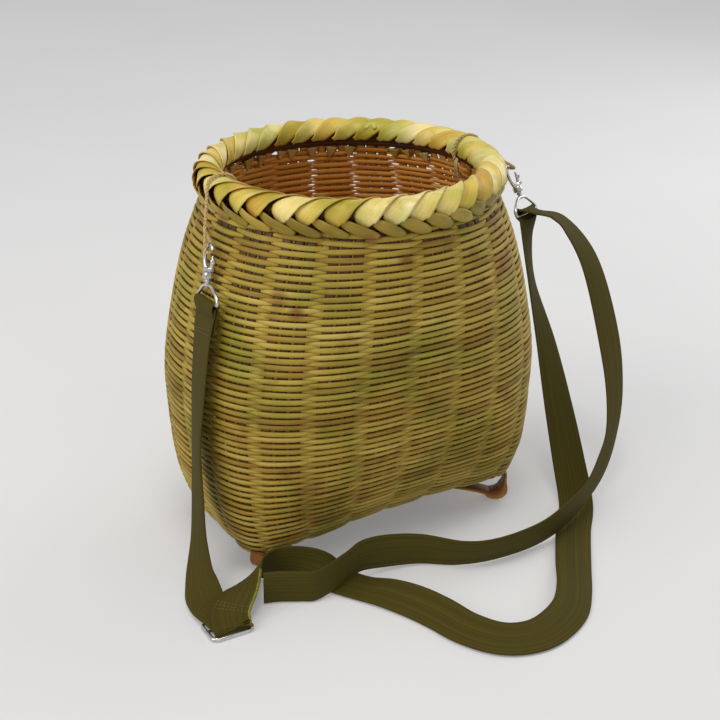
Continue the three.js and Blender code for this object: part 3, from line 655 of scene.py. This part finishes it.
def wall_grid():
    """The wall's outer face: points by rise and turn, then its outward and upward directions"""
    half = {
        "base": (BASE_LENGTH / 2, BASE_WIDTH / 2),
        "mouth": (MOUTH_RADIUS + WALL, MOUTH_RADIUS + WALL),
    }
    belly = (BELLY_LENGTH / 2, BELLY_WIDTH / 2)
    rises = [row[0] for row in PROFILE]
    longs = [half[row[1]][0] + (belly[0] - half[row[1]][0]) * row[2] for row in PROFILE]
    wides = [half[row[3]][1] + (belly[1] - half[row[3]][1]) * row[4] for row in PROFILE]
    corners = [row[5] for row in PROFILE]
    points = np.empty((GRID_RISES, GRID_TURNS, 3))
    angle = np.linspace(0, 2 * np.pi, 2881)
    cos, sin = np.cos(angle), np.sin(angle)
    for i, rise in enumerate(np.linspace(0, 1, GRID_RISES)):
        long = smooth_column(rises, longs, rise)
        wide = smooth_column(rises, wides, rise)
        corner = smooth_column(rises, corners, rise)
        reach = (np.abs(cos / long) ** corner + np.abs(sin / wide) ** corner) ** (-1 / corner)
        x, y = reach * cos, reach * sin
        run = np.concatenate([[0], np.cumsum(np.hypot(np.diff(x), np.diff(y)))])
        at = np.arange(GRID_TURNS) / GRID_TURNS * run[-1]
        x, y = np.interp(at, run, x), np.interp(at, run, y)
        edge = bottom_edge(np.arctan2(y / wide, x / long))
        level = FLOOR_HEIGHT + rise * (WALL_TOP - FLOOR_HEIGHT)
        z = level + max(0, 1 - rise / DRAPE_END) ** 2 * (edge - FLOOR_HEIGHT)
        points[i] = np.stack([x, y, z], 1)
    upward = unit(np.gradient(points, axis=0))
    around = unit(np.roll(points, -1, 1) - np.roll(points, 1, 1))
    outward = unit(np.cross(around, upward))
    return points, outward, upward


WALL_POINTS, WALL_OUT, WALL_UP = wall_grid()


def on_wall(turn, rise, grid):
    """Smooth look-up in one of the wall's grids, by turns round it and rise from 0 to 1"""
    column = (np.asarray(turn, float) % 1.0) * GRID_TURNS
    row = np.clip(np.asarray(rise, float), 0, 1) * (GRID_RISES - 1)
    c0 = np.floor(column).astype(int)
    r0 = np.minimum(np.floor(row).astype(int), GRID_RISES - 2)
    fc, fr = (column - c0)[:, None], (row - r0)[:, None]
    c0, c1 = c0 % GRID_TURNS, (c0 + 1) % GRID_TURNS
    low = grid[r0, c0] * (1 - fc) + grid[r0, c1] * fc
    high = grid[r0 + 1, c0] * (1 - fc) + grid[r0 + 1, c1] * fc
    return low * (1 - fr) + high * fr


def wall_place(turn, rise, out):
    """Points off the wall's outer face, `out` millimetres along its outward direction"""
    return on_wall(turn, rise, WALL_POINTS) + on_wall(turn, rise, WALL_OUT) * np.asarray(out)[:, None]


WEAVE_DEPTH = 1.5  # the weave's middle below the wall's outer face
SWING = 1.15  # a weft's swing in front of and behind the stakes
WEFT_STEPS = 8  # to a stake group
STRIP_TURNS = 0.8  # a split strip goes this far round before the next is laid in
OPEN_SEAMS = (1.5, 2.5, 3.5, 4.5)  # crossings at the back that light shows through, in groups


def wave(turn):
    """Over and under: +1 in front of a stake group and -1 behind the next"""
    swing = np.cos(np.pi * WARP_PAIRS * turn)
    return np.tanh(2.3 * swing) / math.tanh(2.3)


def random_walk(count, knots, seed):
    """Smooth seeded wander between -1 and 1 over `count` places"""
    values = np.random.default_rng(seed).uniform(-1, 1, knots + 3)
    at = np.linspace(0, knots, count)
    i = np.floor(at).astype(int)
    t = at - i
    t = t * t * (3 - 2 * t)
    return values[i] * (1 - t) + values[i + 1] * t


def weave_wefts():
    """One spiral of split strips from the bottom edge to the rim, in two pieces"""
    steps = WARP_PAIRS * WEFT_STEPS
    total = WEFT_TURNS * steps
    turn = np.arange(total + 1) / steps
    share = turn / WEFT_TURNS
    rise = 0.004 + 0.985 * share**1.1
    ripple = random_walk(total + 1, WEFT_TURNS * 9, 3) * 0.0014
    ripple += random_walk(total + 1, WEFT_TURNS * 23, 4) * 0.0008
    near_rim = np.clip((share - 0.93) / 0.07, 0, 1)
    ripple += near_rim * 0.005 * np.sin(2 * np.pi * (7 * turn + 2.3 * np.sin(turn * 1.7)))
    rise = np.clip(rise + ripple, 0.002, 0.995)
    swing = wave(turn)
    middles = wall_place(turn, rise, swing * SWING - WEAVE_DEPTH)
    upward = on_wall(turn, rise, WALL_UP)
    front = np.abs(swing) ** 0.9
    wander = random_walk(total + 1, WEFT_TURNS * 21, 5)
    row = 1.13 * (1.1 * np.maximum(share, 0.03) ** 0.1)
    group = (turn % 1.0) * WARP_PAIRS
    opening = sum(np.exp(-(((group - seam) / 0.09) ** 2)) for seam in OPEN_SEAMS)
    opening = opening * np.clip((share - 0.66) / 0.1, 0, 1)
    half_width = row * (1.14 + 0.36 * front + 0.1 * wander - 0.44 * opening)
    half_thick = 1.0 + 0.12 * random_walk(total + 1, WEFT_TURNS * 5, 8)
    strip = np.floor(turn / STRIP_TURNS).astype(int)
    tones = np.random.default_rng(21).uniform(0.0, 1.0, strip.max() + 1)
    tone = tones[strip]
    section = oval(8)
    for name, low, high in (("weft_lower", 0, total // 2), ("weft_upper", total // 2, total)):
        strands = Strands()
        part = slice(low, high + 1)
        strands.add(middles[part], -upward[part], half_width[part], half_thick[part], section, tone[part])
        piece = strands.build(name, WEFT)
        yield piece


def weave_stakes():
    """Groups of three flat stakes that the wefts pass, from the bottom edge into the rim"""
    strands = Strands()
    steps = 44
    rise = np.linspace(0.0, 0.998, steps)
    for group in range(WARP_PAIRS):
        for offset in (-0.26, 0.0, 0.26):
            turn = np.full(steps, (group + offset) / WARP_PAIRS)
            turn = turn + random_walk(steps, 4, group * 7 + int(offset * 8) + 9) * 0.0005
            middles = wall_place(turn, rise, np.full(steps, -WEAVE_DEPTH))
            out = on_wall(turn, rise, WALL_OUT)
            up = on_wall(turn, rise, WALL_UP)
            across = np.cross(up, out)
            strands.add(middles, across, 3.35, 0.4, oval(6), rng.uniform(0.0, 1.0))
    piece = strands.build("stakes", STAKE)
    return piece


def stake_ends():
    """Pale pointed ends of the stakes, bent over under the rim inside"""
    strands = Strands()
    share = np.linspace(0, 1, 7)
    for group in range(2 * WARP_PAIRS):
        if rng.random() < 0.25:
            continue
        turn = (group * 0.5 + rng.uniform(-0.12, 0.12)) / WARP_PAIRS
        turn = turn + (share - 0.5) * rng.uniform(-0.004, 0.004)
        rise = 0.999 - share * rng.uniform(0.03, 0.045)
        middles = wall_place(turn, rise, np.full(7, -4.1))
        across = np.cross(on_wall(turn, rise, WALL_UP), on_wall(turn, rise, WALL_OUT))
        width = rng.uniform(3.6, 5.6) * (1 - share) ** 0.8 + 0.2
        strands.add(middles, across, width, 0.35, oval(6), rng.uniform(0.4, 1.0))
    piece = strands.build("stake_ends", STAKE_ENDS)
    return piece


wall_pieces = list(weave_wefts()) + [weave_stakes(), stake_ends()]
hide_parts("basket_body")


def weave_floor():
    """Plain-woven floor of broad strips, laid both ways and turned down at the edge"""
    half_long, half_wide, corner = BASE_LENGTH / 2 - 2, BASE_WIDTH / 2 - 2, 5.5
    strands = Strands()
    pitch = 9.2

    def height(x, y):
        reach = (abs(x / half_long) ** corner + abs(y / half_wide) ** corner) ** (1 / corner)
        edge = bottom_edge(math.atan2(y / half_wide, x / half_long))
        return FLOOR_HEIGHT + (edge - FLOOR_HEIGHT) * min(reach, 1.0) ** 2 + 1.6

    for axis, half_run, half_span in ((0, half_long, half_wide), (1, half_wide, half_long)):
        count = int(half_span / pitch)
        for number in range(-count, count + 1):
            side = number * pitch
            share = abs(side / half_span)
            end = half_run * (1 - share**corner) ** (1 / corner)
            steps = max(8, int(2 * end / 3))
            points = []
            for s in np.linspace(-end, end, steps):
                x, y = (s, side) if axis == 0 else (side, s)
                over = math.cos(math.pi * s / pitch) * (-1) ** number * (1 if axis == 0 else -1)
                points.append((x, y, height(x, y) + 0.55 * over))
            across = (0, 1, 0) if axis == 0 else (-1, 0, 0)
            strands.add(points, np.tile(across, (steps, 1)), 3.9, 0.4, oval(6), rng.uniform(0.1, 0.9))
    piece = strands.build("floor_weave", STAKE)
    return piece


weave_floor()

# The rim
RIM_STRIPS = 36


def rim_core():
    """Bundle that the rim strips are laid over, seen only in the gaps between them, where its dark colour
    is painted shade
    """
    bm = bmesh.new()
    upright = Matrix.Rotation(math.pi / 2, 4, "X")
    turned = Matrix.Translation((MOUTH_RADIUS, 0, RIM_HEIGHT)) @ upright
    bmesh.ops.create_circle(bm, segments=12, radius=ROLL_RADIUS - 1.5, matrix=turned)
    below = Matrix.Translation((MOUTH_RADIUS + 1.3, 0, WALL_TOP + 1.2)) @ upright
    bmesh.ops.create_circle(bm, segments=8, radius=2.6, matrix=below)
    ring = bm.verts[:] + bm.edges[:]
    full = 2 * math.pi
    bmesh.ops.spin(bm, geom=ring, axis=(0, 0, 1), cent=(0, 0, 0), steps=96, angle=full, use_merge=True)
    piece = finish(bm, "rim_core", GAP_SHADE)
    for label, value in (("tone", 0.05), ("side", 1.0)):
        data = piece.data.attributes.new(label, "FLOAT", "POINT")
        data.data.foreach_set("value", np.full(len(piece.data.vertices), value))


def on_roll(turn, around, lift):
    """A point on the rim's roll: turn round the mouth, angle round the roll from outside up"""
    radius = ROLL_RADIUS - 0.6 + lift
    reach = MOUTH_RADIUS + radius * np.cos(around)
    height = RIM_HEIGHT + radius * np.sin(around)
    return np.stack([reach * np.cos(turn), reach * np.sin(turn), height], -1)


def roll_strand(strands, turn, around, lift, width, thick, tone, aside, shingle):
    """A strip laid on the roll along the given angles, its right edge lifted over the next"""
    middles = on_roll(turn, around, lift)
    out = unit(on_roll(turn, around, lift + 1) - middles)
    along = unit(np.gradient(middles, axis=0))
    across = unit(np.cross(along, out))
    middles = middles + across * np.broadcast_to(aside, turn.shape)[:, None]
    across = unit(across + out * shingle)
    strands.add(middles, across, width, thick, flat_band(0.5), tone)


def rim_strips():
    """Broad strips laid slantwise over the roll; outside, each ends in a point lower right"""
    strands = Strands()
    steps = 34
    share = np.linspace(0, 1, steps)
    degrees = -48 + 254 * share
    around = np.radians(degrees)
    slant = np.interp(degrees, [-48, 60, 206], [-15.0, 0.0, 31.0]) / MOUTH_RADIUS
    full = np.interp(degrees, [-48, 60, 120, 206], [7.6, 7.2, 5.8, 5.4])
    for number in range(RIM_STRIPS):
        start = 2 * np.pi * number / RIM_STRIPS + rng.uniform(-0.014, 0.014)
        lean = rng.uniform(0.92, 1.08)
        turn = start + slant * lean
        lift = 0.3 + 0.4 * np.sin(np.pi * share) + rng.uniform(-0.15, 0.15)
        point = np.clip(share / 0.2, 0.03, 1)
        tail = np.clip((1 - share) / 0.1, 0.4, 1)
        width = full * point * tail
        tone = rng.uniform(0.25, 1.0) if number not in (8, 21, 30) else 0.0
        roll_strand(strands, turn, around, lift, width, 0.7, tone, full * (1 - point) * 0.9, 0.16)
    for lean, offset in ((0.9, -0.035), (-0.8, 0.03)):
        around = np.radians(np.linspace(20, 150, 14))
        turn = math.radians(50.7) + offset + lean * 0.09 * np.linspace(-1, 1, 14)
        roll_strand(strands, turn, around, 1.6, 1.5, 0.5, 0.9, 0.0, 0.0)
    piece = strands.build("rim_strips", RIM)
    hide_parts("rim_roll")


def leaf_row():
    """Strip ends turned down under the roll outside: leaf-shaped, leaning the other way"""
    strands = Strands()
    steps = 18
    share = np.linspace(0, 1, steps)
    height = np.array([253.4, 251.4, 249.2, 246.8, 244.6, 243.0])
    stand = np.array([4.6, 5.8, 6.2, 5.4, 3.8, 2.4])
    for number in range(RIM_STRIPS):
        start = 2 * np.pi * (number + 0.42) / RIM_STRIPS + rng.uniform(-0.012, 0.012)
        turn = start + (share - 0.5) * 0.225 * rng.uniform(0.92, 1.1)
        fall = share * 5
        z = np.interp(fall, range(6), height) + rng.uniform(-0.4, 0.4)
        reach = MOUTH_RADIUS + WALL + np.interp(fall, range(6), stand)
        middles = np.stack([reach * np.cos(turn), reach * np.sin(turn), z], 1)
        tip = np.interp(fall, range(6), [-0.1, -0.2, -0.35, -0.3, -0.1, 0])
        facing = unit(np.stack([np.cos(turn), np.sin(turn), tip], 1))
        along = unit(np.gradient(middles, axis=0))
        across = unit(np.cross(along, facing))
        across = unit(across - facing * 0.2)
        width = rng.uniform(4.6, 5.2) * np.sin(np.pi * (0.12 + 0.84 * share)) ** 0.6
        strands.add(middles, across, width, 0.7, flat_band(0.5), rng.uniform(0.0, 1.0))
    piece = strands.build("leaf_row", LEAF)
    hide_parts("rim_leaf_row")


rim_core()
rim_strips()
leaf_row()

# Feet
SKID_WIDTH = 12.0
TOE_ANGLE = 27.2
SKID_PATH = [
    (0, 0.0, 1.5), (15, 0.0, 1.5), (55, -6.6, 1.5), (88, -12.6, 1.6),
]
TOE_PATH = [
    (99.5, 6.4, 1.8), (103.5, 4.4, 2.8), (108.5, 4.1, 3.6), (112.6, 6.2, 3.8), (114.0, 10.2, 3.0),
    (114.6, 14.5, 1.6),
]


def foot_skids():
    """Bamboo strips that cross under the floor; each end bends under into a knuckle and
    runs up into the weave"""
    middle = {
        "foot_skid_lower": (TOE_ANGLE, FLOOR_HEIGHT - 6.3),
        "foot_skid_upper": (-TOE_ANGLE, FLOOR_HEIGHT - 2.8),
    }
    for name, (angle, level) in middle.items():
        strands = Strands()
        heading = math.radians(angle)
        run = np.array([math.cos(heading), math.sin(heading), 0])
        for sign in (-1, 1):
            top = EDGE_CORNER + sign * EDGE_SLOPE * math.cos(math.pi / 4) + 2.5
            rows = [(s, level + drop, t) for s, drop, t in SKID_PATH] + TOE_PATH + [(114.8, top, 1.3)]
            rows = np.array(rows)
            rows[0, 0] = -1.0 if sign > 0 else 0.6
            path = catmull(rows, 8)
            middles = run[None] * path[:, :1] * sign
            middles = middles + np.array([0, 0, 1])[None] * path[:, 1:2]
            across = np.tile(np.cross((0, 0, 1), run), (len(path), 1)) * sign
            width = SKID_WIDTH / 2 + 0.5 * np.clip(path[:, 2] - 2, 0, 2)
            tone = 0.0 if sign < 0 and angle > 0 else rng.uniform(0.4, 0.8)
            strands.add(middles, across, width, path[:, 2], flat_band(0.28), tone)
        piece = strands.build(name.replace("foot_skid", "skid"), FOOT)
        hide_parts(name)


foot_skids()

# Hardware
# Each hook's own frame: the D-loop bar's middle, the way along the bar, the way up from it
HOOKS = {
    "left": ((-120.4, -27.6, 192.4), (0.035, -1.0, 0.0), (0.2, 0.22, 0.955)),
    "right": ((147.6, -2.4, 201.6), (0.906, 0.423, -0.05), (-0.166, 0.458, 0.873)),
}
# Outlines in the hook's frame: along the bar and up, with the wire's radius
D_LOOP = [
    (0, 0, 1.25), (-12.2, 0, 1.25), (-13.9, 0.5, 1.25), (-14.4, 1.9, 1.25), (-12.8, 5, 1.2),
    (-6.6, 10.4, 1.15), (-3.6, 11.7, 1.2), (0, 12, 1.5), (3.6, 11.7, 1.2), (6.6, 10.4, 1.15),
    (12.8, 5, 1.2), (14.4, 1.9, 1.25), (13.9, 0.5, 1.25), (12.2, 0, 1.25),
]
HOOK_WIRE = [
    (-1.6, 20.2, 2.0), (-3.1, 22.4, 1.75), (-4.6, 25.6, 1.5), (-5.35, 29, 1.4), (-5.2, 32.4, 1.4),
    (-3.9, 35.4, 1.4), (-1.9, 37.3, 1.4), (0.3, 37.9, 1.4), (2.5, 37.2, 1.35), (4.3, 35.6, 1.3),
    (5.1, 34.2, 1.1),
]


def wire(name, lines, material, body="creel"):
    """Round wires as curve splines; a line's rows are place and radius in millimetres"""
    data = bpy.data.curves.new(name, "CURVE")
    data.dimensions = "3D"
    data.bevel_depth = MM
    data.bevel_resolution = 3
    data.use_fill_caps = True
    for rows, closed in lines:
        spline = data.splines.new("POLY")
        spline.points.add(len(rows) - 1)
        for point, row in zip(spline.points, rows):
            point.co = (row[0] * MM, row[1] * MM, row[2] * MM, 1.0)
            point.radius = row[3]
        spline.use_cyclic_u = closed
        spline.use_smooth = True
    data.materials.append(material)
    piece = bpy.data.objects.new(name, data)
    bpy.context.collection.objects.link(piece)
    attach(piece, body)
    return piece


def smooth_loop(rows, steps):
    """Points on the smooth closed curve through the rows"""
    rows = np.asarray(rows, float)
    around = catmull(np.vstack([rows[-2:], rows, rows[:2]]), steps)
    return around[2 * steps:(2 + len(rows)) * steps]


def snap_hook(side):
    """Swivel snap hook: D-loop, turned barrel with a yoke on it, hook wire, sprung lever gate"""
    centre, bar, up = (np.array(v, float) for v in HOOKS[side])
    up = unit(up)
    bar = unit(bar - up * (bar @ up))
    depth = np.cross(up, bar)

    def place(x, y, z):
        return centre + bar * x + depth * y + up * z

    loop = [(*place(x, 0, z), radius) for x, z, radius in D_LOOP]
    d_loop = wire("d_loop_" + side, [(smooth_loop(loop, 5), True)], NICKEL)
    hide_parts("hook_" + side + "_d_loop")
    hook = [(*place(x, 0, z), radius) for x, z, radius in HOOK_WIRE]
    hook_wire = wire("hook_wire_" + side, [(catmull(hook, 5), False)], NICKEL)
    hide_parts("hook_" + side + "_body")

    bm = bmesh.new()
    outline = [
        (0.0, 14.2), (2.2, 14.2), (2.2, 15.0), (1.7, 15.3), (1.7, 15.8), (3.3, 16.1), (3.6, 16.9),
        (3.6, 19.4), (3.1, 20.3), (2.3, 20.8), (0.0, 20.8),
    ]
    verts = [bm.verts.new(place(x, 0, z)) for x, z in outline]
    edges = [bm.edges.new(pair) for pair in zip(verts, verts[1:])]
    full = 2 * math.pi
    bmesh.ops.spin(bm, geom=verts + edges, axis=up, cent=centre, steps=28, angle=full, use_merge=True)
    bmesh.ops.create_cone(
        bm, cap_ends=True, segments=14, radius1=1.45, radius2=1.45, depth=5.2,
        matrix=frame_matrix(place(0, 0, 13.6), bar, depth, up),
    )
    block = frame_matrix(place(0.9, 0, 21.9), bar * 7.4, depth * 4.2, up * 3.0)
    yoke = bmesh.ops.create_cube(bm, size=1.0, matrix=block)
    sides = list({edge for vert in yoke["verts"] for edge in vert.link_edges})
    bmesh.ops.bevel(bm, geom=sides, offset=0.9, segments=3, affect="EDGES", profile=0.5, material=-1)
    bmesh.ops.create_cone(
        bm, cap_ends=True, segments=16, radius1=1.25, radius2=1.25, depth=5.2,
        matrix=frame_matrix(place(3.9, 0, 22.3), bar, up, -depth),
    )
    barrel = finish(bm, "swivel_" + side, NICKEL)

    lever = [(3.9, 22.6, 1.15), (4.5, 25, 1.15), (5.1, 27.6, 1.0), (5.1, 29.6, 0.85), (5.1, 30.8, 0.65)]
    lever = [(*place(x, 0, z), radius) for x, z, radius in lever]
    gate = wire("gate_" + side, [(catmull(lever, 5), False)], NICKEL, side + "_gate")
    bm = bmesh.new()
    tab = frame_matrix(place(6.0, 0, 27.2), bar * 1.3, depth * 2.0, up * 2.1)
    bmesh.ops.create_uvsphere(bm, u_segments=16, v_segments=10, radius=1.0, matrix=tab)
    thumb = finish(bm, "gate_thumb_" + side, NICKEL, side + "_gate")
    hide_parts("hook_" + side + "_gate")
    pieces = [d_loop, hook_wire, barrel, gate, thumb]
    return pieces


def slider():
    """Flat rectangular buckle lying on the floor, with a middle bar; the front bar is broad"""
    centre = np.array((-149.1, -103.8, 1.4))
    half_x, half_y, corner = 14.2, 9.7, 3.2
    frame_points = []
    for quarter in range(4):
        for step in range(5):
            angle = math.radians(quarter * 90 + step * 22.5)
            sign_x = 1 if quarter in (0, 3) else -1
            sign_y = 1 if quarter in (0, 1) else -1
            x = sign_x * (half_x - corner) + corner * math.cos(angle)
            y = sign_y * (half_y - corner) + corner * math.sin(angle)
            frame_points.append((*(centre + (x, y, 0)), 1.3))
    middle_bar = [(*(centre + (x, 0.4, 0)), 1.25) for x in (-half_x, half_x)]
    piece = wire("slider_frame", [(frame_points, True), (middle_bar, False)], NICKEL)
    bm = bmesh.new()
    front = frame_matrix(centre + (0, -half_y, 0.0), (24.0, 0, 0), (0, 3.4, 0), (0, 0, 2.4))
    bar = bmesh.ops.create_cube(bm, size=1.0, matrix=front)
    edges = list({edge for vert in bar["verts"] for edge in vert.link_edges})
    bmesh.ops.bevel(bm, geom=edges, offset=0.6, segments=2, affect="EDGES", profile=0.5, material=-1)
    front_bar = finish(bm, "slider_front_bar", NICKEL)
    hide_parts("slider")
    return [piece, front_bar]


def cord_loop(side):
    """Two-ply jute loop over the rim, out through the weave and through the hook"""
    centre, bar, up = (np.array(v, float) for v in HOOKS[side])
    sign = -1 if side == "left" else 1
    up = unit(up)
    lean = np.cross(up, unit(bar - up * (bar @ up)))
    lean = lean * (1 if lean[0] * sign > 0 else -1)
    seat = centre + up * 35.2
    clear = ROLL_RADIUS + ROLL_RELIEF + 1.6
    hole_x, hole_z = MOUTH_RADIUS + WALL + 6, RIM_HEIGHT - 23
    rows = [
        seat + lean * 3,
        (sign * 107.1, seat[1] * 0.25, RIM_HEIGHT - 1),
        (sign * (MOUTH_RADIUS + clear * 0.78), 0, RIM_HEIGHT + clear * 0.72),
        (sign * MOUTH_RADIUS, 0, RIM_HEIGHT + clear + 0.2),
        (sign * (MOUTH_RADIUS - clear * 0.78), 0, RIM_HEIGHT + clear * 0.72),
        (sign * (MOUTH_RADIUS - clear - 0.4), 0, RIM_HEIGHT - 2),
        (sign * (MOUTH_RADIUS - clear * 0.5), 0, hole_z + 6),
        (sign * (hole_x - 5), 0, hole_z + 0.4),
        (sign * hole_x, 0, hole_z),
        (sign * (hole_x + 4), 0, hole_z - 0.4),
        seat - lean * 3,
    ]
    middles = smooth_loop(rows, 26)
    along = unit(np.roll(middles, -1, 0) - np.roll(middles, 1, 0))
    sideways = unit(np.cross(along, np.cross((0, 1.0, 0), along)))
    outward = np.cross(along, sideways)
    gaps = np.linalg.norm(middles - np.roll(middles, 1, 0), axis=1)
    run = np.cumsum(gaps)
    angle = 2 * np.pi * round(run[-1] / 5.5) * run / run[-1]
    lines = []
    for phase in (0, np.pi):
        wind = np.cos(angle + phase)[:, None] * sideways + np.sin(angle + phase)[:, None] * outward
        lines.append((np.column_stack([middles + wind * 0.55, np.full(len(run), 0.72)]), True))
    piece = wire("cord_" + side, lines, JUTE)
    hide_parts("cord_loop_" + side)
    return [piece]


def frayed_end():
    """Loose strands of the right loop's cord, hanging inside the rim"""
    lines = []
    for shift in (-1.6, -0.2, 1.5):
        rows = [
            (84.6, -3 + shift * 0.4, 252, 0.6),
            (83.6, -3 + shift * 0.8, 247, 0.55),
            (84.4, -2.6 + shift * 1.2, 241, 0.45),
            (86.4, -2 + shift * 1.7, 235 + shift, 0.3),
        ]
        lines.append((catmull(rows, 5), False))
    wire("frayed_cord", lines, JUTE)


on_strap = {side: snap_hook(side) + cord_loop(side) for side in HOOKS}
frayed_end()
declare_strap("strap_left_run", with_run["strap_left_run"] + on_strap["left"])
declare_strap("strap_inner_run", with_run["strap_inner_run"] + slider())
declare_strap("strap_outer_run", with_run["strap_outer_run"] + on_strap["right"])


# Stage
def make_stage():
    bm = bmesh.new()
    bmesh.ops.create_grid(bm, x_segments=1, y_segments=1, size=4.0)
    mesh = bpy.data.meshes.new("floor")
    bm.to_mesh(mesh)
    bm.free()
    mesh.materials.append(backdrop())
    floor = bpy.data.objects.new("floor", mesh)
    floor.location.z = -0.0003
    bpy.context.collection.objects.link(floor)


def add_light(name, at, size, power, colour):
    data = bpy.data.lights.new(name, "AREA")
    data.shape = "DISK"
    data.size = size
    data.energy = power
    data.color = linear(colour)[:3]
    lamp = bpy.data.objects.new(name, data)
    lamp.location = at
    lamp.rotation_euler = (Vector((0, 0, 0.1)) - Vector(at)).to_track_quat("-Z", "Y").to_euler()
    bpy.context.collection.objects.link(lamp)


def make_light():
    world = bpy.data.worlds.new("studio")
    world.use_nodes = True
    background = world.node_tree.nodes["Background"]
    background.inputs["Color"].default_value = linear("#f2f2f3")
    background.inputs["Strength"].default_value = 0.6
    bpy.context.scene.world = world
    add_light("key_light", (-1.8, -0.2, 1.6), 1.8, 20.0, "#fffaf2")
    add_light("top_light", (-0.3, -0.5, 2.6), 0.9, 16.0, "#fffdfa")
    add_light("right_light", (1.4, 0.2, 0.8), 1.2, 6.0, "#fffdfa")
    bpy.context.scene.view_settings.view_transform = "Standard"


make_stage()
make_light()
